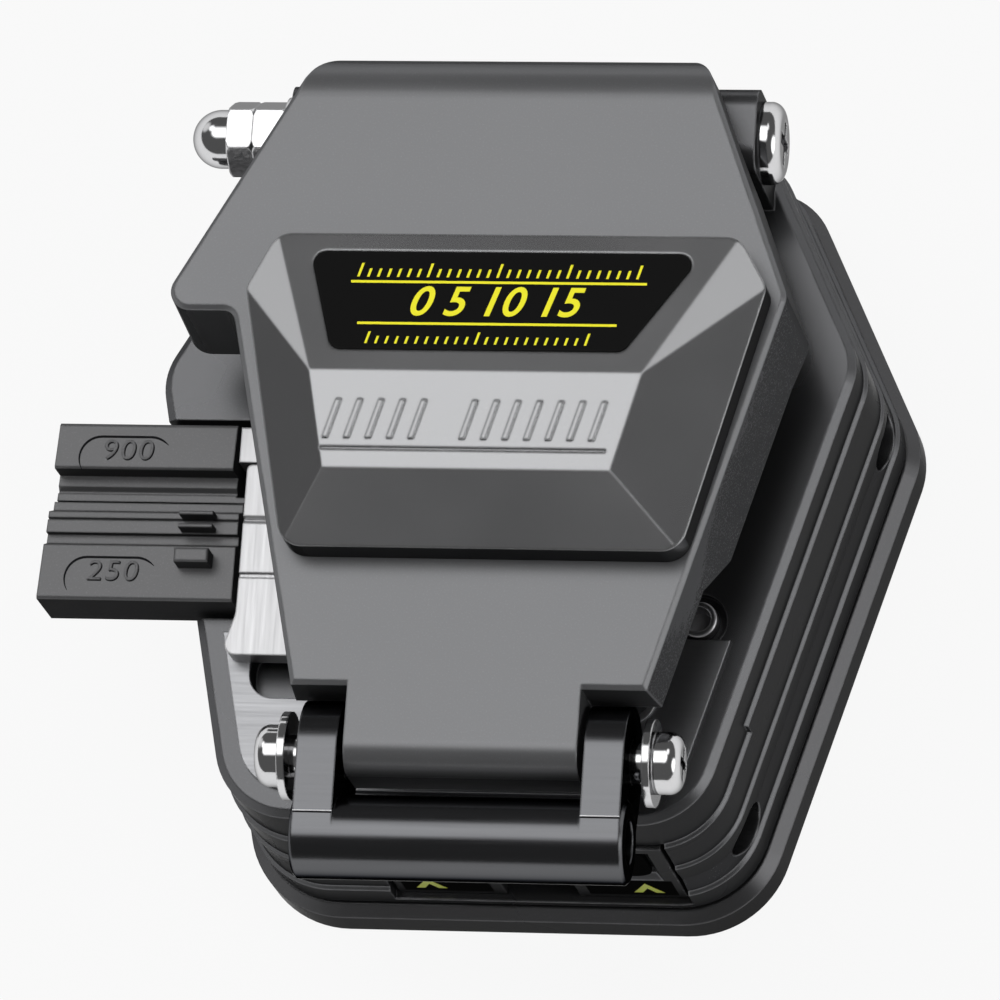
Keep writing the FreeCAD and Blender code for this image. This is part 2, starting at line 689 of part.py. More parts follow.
def make_platform(left):
    edge = BLADE_SLOT_HALF_WIDTH
    if left:
        corners = [
            (BLADE_X - edge, PLATFORM_FRONT_Y, 0.0),
            (BLADE_X - edge, PLATFORM_REAR_Y, 0.0),
            (PLATFORM_LEFT_X, PLATFORM_REAR_Y, 0.6),
            (PLATFORM_LEFT_X, PLATFORM_FLARE_Y, 3.0),
            (PLATFORM_LEFT_X - PLATFORM_FLARE, PLATFORM_FRONT_Y, PLATFORM_CORNER),
        ]
        pad_x = LEFT_PAD_X
    else:
        corners = rectangle(BLADE_X + edge, PLATFORM_RIGHT_X, PLATFORM_FRONT_Y, PLATFORM_REAR_Y, 1.5)
        pad_x = RIGHT_PAD_X
    plate = slab(corners, DECK_Z + PLATE_THICKNESS, PLATFORM_TOP)
    foot = slab(corners, DECK_Z, DECK_Z + PLATE_THICKNESS, -0.6)
    behind_plate = box(-FAR, FAR, PLATE_REAR_Y + SEAT_GAP, FAR, DECK_Z - 1, PLATFORM_TOP)
    block = plate.fuse(foot.common(behind_plate)).removeSplitter()
    tools = [pad_cavity(pad_x), fibre_groove(-FAR / 2, FAR / 2)]
    # A cross slot in front of the fibre line lets chips fall clear.
    slot_y = FIBRE_Y - PAD_SIZE_Y / 2 - 1.6
    tools.append(box(-FAR / 2, FAR / 2, slot_y, slot_y + 0.5, PLATFORM_TOP - 0.35, FAR))
    for x, y in platform_screw_spots():
        tools.append(cylinder_z(PLATFORM_HEAD_RADIUS + SEAT_GAP, PLATFORM_TOP - PLATFORM_HEAD_DEPTH, FAR, x, y))
        tools.append(cylinder_z(PLATFORM_SCREW_RADIUS, 0, FAR, x, y))
    return cut_all(block, tools)


def make_lower_pads():
    pads = []
    for x in (LEFT_PAD_X, RIGHT_PAD_X):
        z1 = PLATFORM_TOP + LOWER_PAD_PROUD
        pads.append(box(x - PAD_SIZE_X / 2 + SEAT_GAP, x + PAD_SIZE_X / 2 - SEAT_GAP,
                        FIBRE_Y - PAD_SIZE_Y / 2 + SEAT_GAP, FIBRE_Y + PAD_SIZE_Y / 2 - SEAT_GAP,
                        z1 - PAD_THICKNESS, z1))
    return Part.makeCompound(pads)


def make_platform_screws():
    screws = []
    length = PLATFORM_TOP - DECK_Z + PLATFORM_SCREW_DEPTH - PLATFORM_SCREW_END_GAP
    for x, y in platform_screw_spots():
        screws.append(cap_screw_down(PLATFORM_SCREW_RADIUS, PLATFORM_HEAD_RADIUS, PLATFORM_HEAD_DEPTH - 0.05,
                                     length, PLATFORM_TOP - 0.05, x, y))
    return Part.makeCompound(screws)


def make_deck_plate():
    """Thin bright plate on the front of the deck, open in front of the platform."""
    plate = slab(BODY_OUTLINE, DECK_Z, DECK_Z + PLATE_THICKNESS, -PLATE_INSET)
    front_part = box(-FAR, FAR, -FAR, PLATE_REAR_Y, 0, FAR)
    plate = plate.common(front_part)
    hole = rectangle(PLATE_HOLE_LEFT_X, PLATE_HOLE_RIGHT_X, PLATE_HOLE_FRONT_Y, PLATE_REAR_Y + 4.0,
                     PLATE_HOLE_RADIUS)
    tools = [slab(hole, 0, FAR)]
    tools.append(cylinder_z(MAGNET_RADIUS + MAGNET_HOUSING + SEAT_GAP, 0, FAR, MAGNET_X, MAGNET_Y))
    blade_front = BLADE_REST_Y - BLADE_RADIUS - 1.0
    slot = BLADE_SLOT_HALF_WIDTH
    tools.append(box(BLADE_X - slot, BLADE_X + slot, blade_front, 0, 0, FAR))
    return cut_all(plate, tools)


def make_deck_stop():
    ring = cylinder_z(STOP_RADIUS, DECK_Z - STOP_DEPTH, DECK_Z + STOP_PROUD, STOP_X, STOP_Y)
    ring = ring.makeFillet(0.3, [ring.Edges[0]])
    return ring.cut(cylinder_z(STOP_BORE, DECK_Z - STOP_DEPTH * 0.6, FAR, STOP_X, STOP_Y))


def make_striker():
    """Steel disc let into the deck for the lid's magnet."""
    return cylinder_z(MAGNET_RADIUS + MAGNET_HOUSING, DECK_Z - 1.2, DECK_Z + 0.8, MAGNET_X, MAGNET_Y)


# ================================================================== adapter
def adapter_lean(y):
    """The ends of the adapter lean outwards towards the front."""
    share = (ADAPTER_REAR_Y - y) / (ADAPTER_REAR_Y - ADAPTER_FRONT_Y)
    return ADAPTER_LEFT_X - ADAPTER_RAKE * (share - 0.3)


def dowel_spots():
    x = PLATFORM_LEFT_X - 3.0
    return [(x, ADAPTER_REAR_Y - 2.8), (x, ADAPTER_FRONT_Y + 3.2)]


def adapter_profile():
    """Section of the adapter in Y and Z, from the rear block to the front block."""
    top = ADAPTER_TOP
    floor = top - CHANNEL_900_DEPTH
    band = top - BAND_DROP
    shelf = top - SHELF_DROP
    groove = top - GROOVE_250_DROP
    y = BLOCK_900_FRONT_Y
    vee_y = FIBRE_Y - VEE_OFFSET
    return [
        (ADAPTER_REAR_Y, ADAPTER_BOTTOM),
        (ADAPTER_REAR_Y, top - 0.3),
        (ADAPTER_REAR_Y - 0.3, top),
        (y + 0.2, top),
        (y, top - 0.2),
        (y, floor),
        (y - 1.1, floor),
        (y - 1.5, floor - 0.55),
        (y - 1.75, floor - 0.55),
        (y - 1.8, floor - 0.2),
        (SHELF_REAR_Y + 0.4, floor - 0.2),
        (SHELF_REAR_Y + 0.4, floor - 0.95),
        (SHELF_REAR_Y + 0.05, floor - 0.95),
        (SHELF_REAR_Y, shelf),
        (BAND_REAR_Y + 0.6, shelf),
        (BAND_REAR_Y, band),
        (vee_y + VEE_HALF_WIDTH, band),
        (vee_y, band - 0.5),
        (vee_y - VEE_HALF_WIDTH, band),
        (BAND_FRONT_Y, band),
        (BAND_FRONT_Y, groove),
        (BLOCK_250_REAR_Y + 0.45, groove),
        (BLOCK_250_REAR_Y, top),
        (ADAPTER_FRONT_Y + 0.25, top),
        (ADAPTER_FRONT_Y, top - 0.25),
        (ADAPTER_FRONT_Y, ADAPTER_BOTTOM),
    ]


def adapter_catches():
    """Two thin fins beside the fibre's groove and a square stop behind the 250 block."""
    x1 = ADAPTER_RIGHT_X - FIN_INSET
    x0 = x1 - FIN_LENGTH
    foot = ADAPTER_TOP - GROOVE_250_DROP
    top = ADAPTER_TOP - BAND_DROP + FIN_HEIGHT
    catches = []
    for y in FIN_REAR_YS:
        points = [(y, foot), (y, top - 0.25), (y - 0.12, top), (y - FIN_WIDTH + 0.08, top),
                  (y - FIN_WIDTH, top - 0.08), (y - FIN_WIDTH, foot)]
        catches.append(profile_x(points, x0, x1))
    stop = box(x0, x1, STOP_REAR_Y - STOP_WIDTH, STOP_REAR_Y, ADAPTER_TOP - 1, ADAPTER_TOP + STOP_HEIGHT)
    rim = [edge for edge in stop.Edges if edge.BoundBox.ZMin > ADAPTER_TOP]
    catches.append(stop.makeChamfer(0.15, rim))
    return catches


def make_adapter():
    section = profile_x(adapter_profile(), -FAR / 2, FAR / 2)
    plan = [
        (ADAPTER_RIGHT_X, ADAPTER_FRONT_Y - 1, 0.0),
        (ADAPTER_RIGHT_X, CHANNEL_900_FRONT_Y + 0.3, 0.0),
        (ADAPTER_RIGHT_X - ADAPTER_SHORT, CHANNEL_900_FRONT_Y + 0.3, 0.0),
        (ADAPTER_RIGHT_X - ADAPTER_SHORT + 0.3, ADAPTER_REAR_Y + 1, 0.0),
        (adapter_lean(ADAPTER_REAR_Y + 1), ADAPTER_REAR_Y + 1, 0.0),
        (adapter_lean(ADAPTER_FRONT_Y - 1), ADAPTER_FRONT_Y - 1, 0.0),
    ]
    plate = section.common(slab(plan, 0, FAR))
    plate = fuse_all([plate] + adapter_catches())
    tools = []
    for x, y in dowel_spots():
        tools.append(cylinder_z(DOWEL_RADIUS + SEAT_GAP, 0, ADAPTER_BOTTOM + DOWEL_LENGTH / 2 + 0.3, x, y))
    return cut_all(plate, tools)


def make_adapter_dowels():
    z0 = ADAPTER_BOTTOM - DOWEL_LENGTH / 2
    return Part.makeCompound([cylinder_z(DOWEL_RADIUS, z0, z0 + DOWEL_LENGTH, x, y) for x, y in dowel_spots()])


def make_end_stop():
    """Bright block at the inner end of the pocket that the adapter's rear block faces."""
    x0 = ADAPTER_RIGHT_X - ADAPTER_SHORT + 0.3 + SLIDE_GAP
    y0 = BLOCK_900_FRONT_Y + 0.9
    block = box(x0, x0 + 6.0, y0, ADAPTER_REAR_Y - 0.2, DECK_Z, ADAPTER_TOP - 0.2)
    leg = box(PLATFORM_LEFT_X + 1.2, x0 + 6.0, y0, ADAPTER_REAR_Y - 0.2, DECK_Z, DECK_Z + 1)
    overhang = box(-FAR, PLATFORM_LEFT_X + 1.2, -FAR, FAR, 0, DECK_Z + 0.4)
    return block.cut(overhang).fuse(leg).removeSplitter()


# =================================================================== slider
def rail_screw_spots():
    return [RAIL_FRONT_Y + 6.0 + RAIL_SCREW_PITCH * i for i in range(RAIL_SCREW_COUNT)]


def make_rail():
    z0 = CHANNEL_FLOOR
    z1 = CHANNEL_FLOOR + RAIL_HEIGHT
    half = RAIL_WIDTH / 2
    waist = half - 0.9
    points = [(half, z0), (half, z0 + 1.6), (waist, z0 + 2.5), (half, z0 + 3.4), (half, z1), (-half, z1),
              (-half, z0 + 3.4), (-waist, z0 + 2.5), (-half, z0 + 1.6), (-half, z0)]
    rail = profile_y(points, RAIL_FRONT_Y, CHANNEL_REAR_Y - 0.5)
    tools = []
    for y in rail_screw_spots():
        tools.append(cylinder_z(RAIL_HEAD_RADIUS + SEAT_GAP, z1 - RAIL_HEAD_DEPTH, z1 + 1, 0, y))
        tools.append(cylinder_z(RAIL_SCREW_RADIUS, z0, z1, 0, y))
    return cut_all(rail, tools)


def make_rail_screws():
    z1 = CHANNEL_FLOOR + RAIL_HEIGHT - 0.1
    length = RAIL_HEIGHT + 1.9
    depth = RAIL_HEAD_DEPTH - 0.1
    return Part.makeCompound([cap_screw_down(RAIL_SCREW_RADIUS, RAIL_HEAD_RADIUS, depth, length, z1, 0, y)
                              for y in rail_screw_spots()])


def slider_front_y():
    """The push face lies flush with the wall below the upper ledge."""
    return FRONT_Y - LEDGE_STEP


def carriage_rear_y():
    return BLADE_REST_Y + CARRIAGE_AHEAD


def make_carriage():
    """Linear bearing block that runs on the rail."""
    z0 = CHANNEL_FLOOR + CARRIAGE_RISE
    z1 = CHANNEL_FLOOR + CARRIAGE_TOP_RISE
    y1 = carriage_rear_y()
    block = box(-CARRIAGE_WIDTH / 2, CARRIAGE_WIDTH / 2, y1 - CARRIAGE_LENGTH, y1, z0, z1)
    half = RAIL_WIDTH / 2 + RUN_GAP
    waist = half - 0.9
    base = CHANNEL_FLOOR
    points = [(half, base), (half, base + 1.6), (waist, base + 2.5), (half, base + 3.4),
              (half, base + RAIL_HEIGHT + RUN_GAP), (-half, base + RAIL_HEIGHT + RUN_GAP),
              (-half, base + 3.4), (-waist, base + 2.5), (-half, base + 1.6), (-half, base)]
    well = cylinder_x(BLADE_RADIUS + BLADE_WELL_GAP, BLADE_X - BLADE_SLOT_HALF_WIDTH,
                      BLADE_X + BLADE_SLOT_HALF_WIDTH, BLADE_REST_Y, blade_axle_z())
    return block.cut(profile_y(points, y1 - CARRIAGE_LENGTH - 1, y1 + 1)).cut(well)


def make_slider():
    """Block on the carriage, slotted for the blade, with the push face at its front."""
    z0 = CHANNEL_FLOOR + CARRIAGE_TOP_RISE
    z1 = CHANNEL_TOP - SLIDE_GAP
    y0 = slider_front_y() + FACE_THICKNESS
    y1 = y0 + SLIDER_LENGTH
    block = box(-SLIDER_HALF_WIDTH, SLIDER_HALF_WIDTH, y0, y1, z0, z1)
    cheek_x0, cheek_x1 = cheek_range()
    cheeks = box(cheek_x0, cheek_x1, BLADE_REST_Y - CHEEK_HALF_LENGTH, BLADE_REST_Y + CHEEK_HALF_LENGTH,
                 z0 + 1, cheek_top())
    block = block.fuse(cheeks).removeSplitter()
    blade_gap = BLADE_RADIUS + 1.0
    slot = box(BLADE_X - BLADE_SLOT_HALF_WIDTH, BLADE_X + BLADE_SLOT_HALF_WIDTH,
               BLADE_REST_Y - blade_gap, BLADE_REST_Y + blade_gap, z0 - 1, FAR)
    axle_z = blade_axle_z()
    bolt = cylinder_x(BLADE_BOLT_RADIUS, -SLIDER_HALF_WIDTH, cheek_x1 - 0.6, BLADE_REST_Y, axle_z)
    access = box(-SLIDER_HALF_WIDTH - 1, cheek_x0, BLADE_REST_Y - 4.0, BLADE_REST_Y + 4.0, axle_z - 4.0, FAR)
    notch = slab(rectangle(2.0, SLIDER_HALF_WIDTH + 1, y0 + 3.0, y0 + 12.0, 1.0), z1 - 2.0, FAR)
    return cut_all(block, [slot, bolt, access, notch])


def make_push_face():
    """Front plate of the slider with a raised frame round its recess."""
    y0 = slider_front_y()
    y1 = y0 + FACE_THICKNESS
    half = CHANNEL_HALF_WIDTH - FACE_SIDE_GAP
    z0 = CHANNEL_FLOOR + SLIDE_GAP
    z1 = CHANNEL_TOP - LEDGE_STEP
    plate = box(-half, half, y0, y1, z0, z1)
    slope = FACE_FRAME_DEPTH
    low = face_recess_bottom()
    recess = Part.makeLoft([face_rectangle(half - FACE_FRAME + slope, low - slope, z1 - FACE_FRAME + slope, y0),
                            face_rectangle(half - FACE_FRAME, low, z1 - FACE_FRAME, y0 + FACE_FRAME_DEPTH)],
                           True, True)
    rail_gap = RAIL_WIDTH / 2 + FACE_RAIL_GAP
    rail_notch = box(-rail_gap, rail_gap, -FAR, FAR, 0, CHANNEL_FLOOR + RAIL_HEIGHT + FACE_RAIL_GAP)
    return plate.cut(recess).cut(rail_notch)


def face_recess_bottom():
    """The recess keeps its frame above the notch that passes over the rail."""
    return CHANNEL_FLOOR + RAIL_HEIGHT + FACE_RAIL_GAP + FACE_FRAME


def face_rectangle(half, z0, z1, y):
    return Part.makePolygon([V(-half, y, z0), V(half, y, z0), V(half, y, z1), V(-half, y, z1), V(-half, y, z0)])


def make_push_label():
    y_back = slider_front_y() + FACE_FRAME_DEPTH
    half = CHANNEL_HALF_WIDTH - FACE_SIDE_GAP - FACE_FRAME - 0.1
    z0 = face_recess_bottom() + 0.1
    z1 = CHANNEL_TOP - LEDGE_STEP - FACE_FRAME - 0.1
    plate = box(-half, half, y_back - LABEL_THICKNESS, y_back, z0, z1)
    uprights = [edge for edge in plate.Edges if edge.BoundBox.YLength > LABEL_THICKNESS / 2]
    return plate.makeFillet(2.2, uprights)


# ==================================================================== blade
def blade_axle_z():
    return PLATFORM_TOP + BLADE_OVER - BLADE_RADIUS


def make_blade_wheel():
    """Round carbide cutting wheel with a double-bevelled edge."""
    half = BLADE_THICKNESS / 2
    bevel = half / math.tan(math.radians(BLADE_EDGE_ANGLE))
    inner = HUB_RADIUS - 2.2
    points = [(half, inner), (half, BLADE_RADIUS - bevel), (0, BLADE_RADIUS), (-half, BLADE_RADIUS - bevel),
              (-half, inner)]
    corners = [V(x, radius, 0) for x, radius in points]
    face = Part.Face(Part.makePolygon(corners + [corners[0]]))
    wheel = face.revolve(V(0, 0, 0), X_AXIS, 360)
    wheel.translate(V(BLADE_X, BLADE_REST_Y, blade_axle_z()))
    return wheel


def make_blade_hub():
    """Hub of the wheel, notched for each of its cutting positions."""
    z = blade_axle_z()
    half = BLADE_THICKNESS / 2
    x0 = BLADE_X - half
    flange = cylinder_x(HUB_RADIUS, x0 - (HUB_THICKNESS - BLADE_THICKNESS), x0, BLADE_REST_Y, z)
    core = cylinder_x(HUB_RADIUS - 2.2, x0, BLADE_X + half + 0.3, BLADE_REST_Y, z)
    tools = [cylinder_x(BLADE_BOLT_RADIUS + RUN_GAP, -FAR / 2, FAR / 2, BLADE_REST_Y, z)]
    for i in range(HUB_NOTCHES):
        angle = 2 * math.pi * i / HUB_NOTCHES
        y = BLADE_REST_Y + HUB_RADIUS * math.cos(angle)
        tools.append(cylinder_x(NOTCH_RADIUS, x0 - HUB_THICKNESS, x0, y, z + HUB_RADIUS * math.sin(angle)))
    return cut_all(flange.fuse(core).removeSplitter(), tools)


def make_blade_bolt():
    z = blade_axle_z()
    head_x, cheek_end = cheek_range()
    shank = cylinder_x(BLADE_BOLT_RADIUS, head_x, cheek_end - 0.6, BLADE_REST_Y, z)
    head = cylinder_x(BLADE_HEAD_RADIUS, head_x - BLADE_HEAD_THICKNESS, head_x, BLADE_REST_Y, z)
    slot = box(-FAR, head_x - BLADE_HEAD_THICKNESS * 0.5, BLADE_REST_Y - 0.4, BLADE_REST_Y + 0.4, 0, FAR)
    return shank.fuse(head).removeSplitter().cut(slot)


# ==================================================================== hinge
def make_hinge_bolt():
    nuts = WASHER_THICKNESS + JAM_NUT_THICKNESS
    shank = cylinder_x(BOLT_RADIUS, -LUG_HALF_SPAN - nuts - ACORN_HEX - 1.0, LUG_HALF_SPAN, HINGE_Y, HINGE_Z)
    head = pan_head_x(HINGE_HEAD_RADIUS, HINGE_HEAD_THICKNESS, LUG_HALF_SPAN, HINGE_Y, HINGE_Z, 1, 4.6)
    return shank.fuse(head)


def make_hinge_washer():
    x1 = -LUG_HALF_SPAN
    ring = cylinder_x(WASHER_RADIUS, x1 - WASHER_THICKNESS, x1, HINGE_Y, HINGE_Z)
    return ring.cut(cylinder_x(BOLT_RADIUS, -FAR / 2, 0, HINGE_Y, HINGE_Z))


def make_jam_nut():
    x1 = -LUG_HALF_SPAN - WASHER_THICKNESS
    nut = hexagon_x(JAM_NUT_FLATS, x1 - JAM_NUT_THICKNESS, x1, HINGE_Y, HINGE_Z)
    return nut.cut(cylinder_x(BOLT_RADIUS, -FAR / 2, 0, HINGE_Y, HINGE_Z))


def make_acorn_nut():
    x1 = -LUG_HALF_SPAN - WASHER_THICKNESS - JAM_NUT_THICKNESS
    hexagon = hexagon_x(ACORN_FLATS, x1 - ACORN_HEX, x1, HINGE_Y, HINGE_Z)
    x_neck = x1 - (ACORN_LENGTH - ACORN_DOME_RADIUS)
    neck = cylinder_x(ACORN_DOME_RADIUS, x_neck, x1 - ACORN_HEX, HINGE_Y, HINGE_Z)
    dome = Part.makeSphere(ACORN_DOME_RADIUS, V(x_neck, HINGE_Y, HINGE_Z))
    nut = fuse_all([hexagon, neck, dome])
    return nut.cut(cylinder_x(BOLT_RADIUS, x1 - ACORN_HEX - 1.0, 0, HINGE_Y, HINGE_Z))


# ====================================================================== lid
def lid_side_profile(skin):
    """Side view of the lid in Y and Z, or of its hollow when skin is over 0."""
    top = LID_TOP - skin
    rear = LID_REAR_Y - skin
    radius = LID_REAR_RADIUS - skin
    start = V(-FAR / 2, rear, SKIRT_REAR_Z - 5)
    edges = []
    arc_side = V(-FAR / 2, rear, top - radius)
    arc_middle = V(-FAR / 2, rear - radius * (1 - math.cos(math.pi / 4)), top - radius * (1 - math.sin(math.pi / 4)))
    arc_top = V(-FAR / 2, rear - radius, top)
    far_top = V(-FAR / 2, -FAR, top)
    far_low = V(-FAR / 2, -FAR, SKIRT_REAR_Z - 5)
    edges.append(Part.LineSegment(start, arc_side).toShape())
    edges.append(Part.Arc(arc_side, arc_middle, arc_top).toShape())
    edges.append(Part.LineSegment(arc_top, far_top).toShape())
    edges.append(Part.LineSegment(far_top, far_low).toShape())
    edges.append(Part.LineSegment(far_low, start).toShape())
    solid = Part.Face(Part.Wire(edges)).extrude(V(FAR, 0, 0))
    if skin > 0:
        return solid
    wedge = [(FAR, 0), (FAR, SKIRT_REAR_Z), (-2.0, SKIRT_REAR_Z), (-6.0, SKIRT_SIDE_Z),
             (SKIRT_STEP_Y, SKIRT_SIDE_Z), (SKIRT_STEP_Y - SKIRT_STEP_LENGTH, SKIRT_FRONT_Z),
             (-FAR, SKIRT_FRONT_Z), (-FAR, 0)]
    return solid.cut(profile_x(wedge, -FAR, FAR))


def lid_plan(grow_top, grow_bottom, z_top, z_bottom):
    return tapered_slab(LID_OUTLINE, z_bottom, z_top, grow_bottom, grow_top)


def make_tongue():
    """Front tongue with a rounded nose that carries the lever."""
    top = LID_TOP
    centre_z = top - NOSE_RADIUS
    nose = cylinder_x(NOSE_RADIUS, -TONGUE_HALF_WIDTH, TONGUE_HALF_WIDTH, NOSE_Y, centre_z)
    block = box(-TONGUE_HALF_WIDTH, TONGUE_HALF_WIDTH, NOSE_Y, NOTCH_Y + LID_WALL, TONGUE_BOTTOM, top)
    front = box(-TONGUE_HALF_WIDTH, TONGUE_HALF_WIDTH, NOSE_Y - NOSE_RADIUS, NOSE_Y, TONGUE_BOTTOM + 1.0, centre_z)
    return fuse_all([nose, block, front])


def clamp_y_range():
    return (FIBRE_Y - CLAMP_DEPTH_Y / 2, FIBRE_Y + CLAMP_DEPTH_Y / 2)


def make_lid():
    chamfer_z = LID_TOP - LID_EDGE
    walls = lid_plan(0.0, LID_DRAFT, chamfer_z, SKIRT_REAR_Z - 1.0)
    cap = tapered_slab(LID_OUTLINE, chamfer_z, LID_TOP, 0.0, -LID_EDGE)
    outer = fuse_all([walls, cap]).common(lid_side_profile(0))
    inner_draft = [draft - LID_WALL for draft in LID_DRAFT]
    hollow = lid_plan(-LID_WALL, inner_draft, chamfer_z, SKIRT_REAR_Z - 1.0)
    hollow = hollow.common(lid_side_profile(LID_SKIN))
    lid = outer.cut(hollow)
    knuckle = cylinder_x(KNUCKLE_RADIUS, -LUG_INNER + SLIDE_GAP, LUG_INNER - SLIDE_GAP, HINGE_Y, HINGE_Z)
    web = box(-LUG_INNER + SLIDE_GAP, LUG_INNER - SLIDE_GAP, HINGE_Y - KNUCKLE_RADIUS, LID_REAR_Y,
              HINGE_Z, LID_TOP - LID_SKIN + 0.5).common(lid_side_profile(0.01))
    lid = fuse_all([lid, knuckle, web, make_tongue()])
    tools = [cylinder_x(BOLT_RADIUS + RUN_GAP, -FAR / 2, FAR / 2, HINGE_Y, HINGE_Z)]
    for x0, x1 in ((LUG_INNER - SLIDE_GAP, FAR / 2), (-FAR / 2, -LUG_INNER + SLIDE_GAP)):
        sweep = cylinder_x(LUG_SWEEP, x0, x1, HINGE_Y, HINGE_Z)
        tools.append(sweep)
    for side in (-1, 1):
        tip_end = side * (ARM_OUTER - SCREW_TIP_LENGTH - 3.5)
        tools.append(cylinder_x(SCREW_TIP_RADIUS, min(tip_end, side * 20), max(tip_end, side * 20), LEVER_Y, LEVER_Z))
    lid = cut_all(lid, tools)
    return lid


def make_clamp_holder():
    """Block under the lid that carries the upper pads and guides the anvil."""
    y0, y1 = clamp_y_range()
    z1 = LID_TOP - LID_SKIN
    pad_top = PLATFORM_TOP + LOWER_PAD_PROUD + UPPER_PAD_GAP + PAD_THICKNESS
    block = box(CLAMP_LEFT_X, CLAMP_RIGHT_X, y0, y1, pad_top + CLAMP_LEG_HEIGHT, z1)
    legs = []
    for x in (LEFT_PAD_X, RIGHT_PAD_X):
        legs.append(box(x - PAD_SIZE_X / 2 - 0.6, x + PAD_SIZE_X / 2 + 0.6, y0 + 1, y1 - 1,
                        pad_top - 0.7, pad_top + CLAMP_LEG_HEIGHT))
    holder = fuse_all([block] + legs)
    tools = []
    for x in (LEFT_PAD_X, RIGHT_PAD_X):
        tools.append(box(x - PAD_SIZE_X / 2, x + PAD_SIZE_X / 2, FIBRE_Y - PAD_SIZE_Y / 2, FIBRE_Y + PAD_SIZE_Y / 2,
                         0, pad_top))
    half = ANVIL_HALF_WIDTH + SLIDE_GAP
    long_half = ANVIL_LENGTH_Y / 2 + SLIDE_GAP
    tools.append(box(BLADE_X - half, BLADE_X + half, FIBRE_Y - long_half, FIBRE_Y + long_half, 0, z1 - 1.0))
    return cut_all(holder, tools)


def make_upper_pads():
    z0 = PLATFORM_TOP + LOWER_PAD_PROUD + UPPER_PAD_GAP
    pads = []
    for x in (LEFT_PAD_X, RIGHT_PAD_X):
        pads.append(box(x - PAD_SIZE_X / 2 + SEAT_GAP, x + PAD_SIZE_X / 2 - SEAT_GAP,
                        FIBRE_Y - PAD_SIZE_Y / 2 + SEAT_GAP, FIBRE_Y + PAD_SIZE_Y / 2 - SEAT_GAP,
                        z0, z0 + PAD_THICKNESS))
    return Part.makeCompound(pads)


def make_anvil():
    """Sprung hammer between the pads that bends the scored fibre until it snaps."""
    z0 = PLATFORM_TOP + ANVIL_GAP + ANVIL_PAD
    z1 = LID_TOP - LID_SKIN - 1.0 - ANVIL_STROKE - SLIDE_GAP
    block = box(BLADE_X - ANVIL_HALF_WIDTH, BLADE_X + ANVIL_HALF_WIDTH, FIBRE_Y - ANVIL_LENGTH_Y / 2,
                FIBRE_Y + ANVIL_LENGTH_Y / 2, z0, z1)
    return block


def make_anvil_pad():
    z0 = PLATFORM_TOP + ANVIL_GAP
    half = ANVIL_HALF_WIDTH - 0.5
    points = [(BLADE_X - half, z0 + ANVIL_PAD), (BLADE_X + half, z0 + ANVIL_PAD), (BLADE_X + half, z0 + 0.4),
              (BLADE_X + half - 0.4, z0), (BLADE_X - half + 0.4, z0), (BLADE_X - half, z0 + 0.4)]
    return profile_y(points, FIBRE_Y - ANVIL_LENGTH_Y / 2 + 0.3, FIBRE_Y + ANVIL_LENGTH_Y / 2 - 0.3)


def make_magnet_post():
    """Post under the lid that carries the closing magnet."""
    z0 = DECK_Z + 0.8 + MAGNET_GAP + MAGNET_HEIGHT * 0.5
    post = cylinder_z(MAGNET_RADIUS + MAGNET_HOUSING, z0, LID_TOP - LID_SKIN, MAGNET_X, MAGNET_Y)
    return post.cut(cylinder_z(MAGNET_RADIUS, 0, z0 + MAGNET_HEIGHT * 0.5, MAGNET_X, MAGNET_Y))


def make_lid_magnet():
    z0 = DECK_Z + 0.8 + MAGNET_GAP
    return cylinder_z(MAGNET_RADIUS, z0, z0 + MAGNET_HEIGHT, MAGNET_X, MAGNET_Y)


# ==================================================================== badge
def badge_corners():
    """Corners of the badge's rim and of its flat top."""
    rim_z = LID_TOP + BADGE_RIM
    top_z = LID_TOP + BADGE_RISE
    rim = [V(x, y, rim_z) for x, y, _ in BADGE_OUTLINE]
    rear_right, rear_left, left, front_left, front_right, right = rim
    top_rear_left = V(-BADGE_TOP_HALF_WIDTH, BADGE_TOP_REAR_Y, top_z)
    top_rear_right = V(BADGE_TOP_HALF_WIDTH, BADGE_TOP_REAR_Y, top_z)
    drop = BADGE_TOP_REAR_Y - BADGE_TOP_FRONT_Y
    left_run = (front_left.x - left.x) / (left.y - front_left.y)
    right_run = (right.x - front_right.x) / (right.y - front_right.y)
    top_front_left = V(top_rear_left.x + drop * left_run, BADGE_TOP_FRONT_Y, top_z)
    top_front_right = V(top_rear_right.x - drop * right_run, BADGE_TOP_FRONT_Y, top_z)
    return rim, (top_rear_right, top_rear_left, top_front_left, top_front_right)


def badge_form():
    """Closed faceted form of the badge, before its corners are rounded."""
    rim, top = badge_corners()
    rear_right, rear_left, left, front_left, front_right, right = rim
    top_rear_right, top_rear_left, top_front_left, top_front_right = top
    foot = [V(p.x, p.y, LID_TOP) for p in rim]
    loops = [
        foot,
        [top_rear_right, top_rear_left, top_front_left, top_front_right],
        [rear_right, rear_left, top_rear_left, top_rear_right],
        [rear_left, left, top_rear_left],
        [left, front_left, top_front_left, top_rear_left],
        [front_left, front_right, top_front_right, top_front_left],
        [front_right, right, top_rear_right, top_front_right],
        [right, rear_right, top_rear_right],
    ]
    for i in range(len(rim)):
        j = (i + 1) % len(rim)
        loops.append([foot[i], foot[j], rim[j], rim[i]])
    faces = [Part.Face(Part.makePolygon(loop + [loop[0]])) for loop in loops]
    solid = Part.makeSolid(Part.makeShell(faces))
    if solid.Volume < 0:
        solid.reverse()
    return solid


def rear_facet_tilt():
    run = BADGE_OUTLINE[0][1] - BADGE_TOP_REAR_Y
    return math.atan2(BADGE_RISE - BADGE_RIM, run)


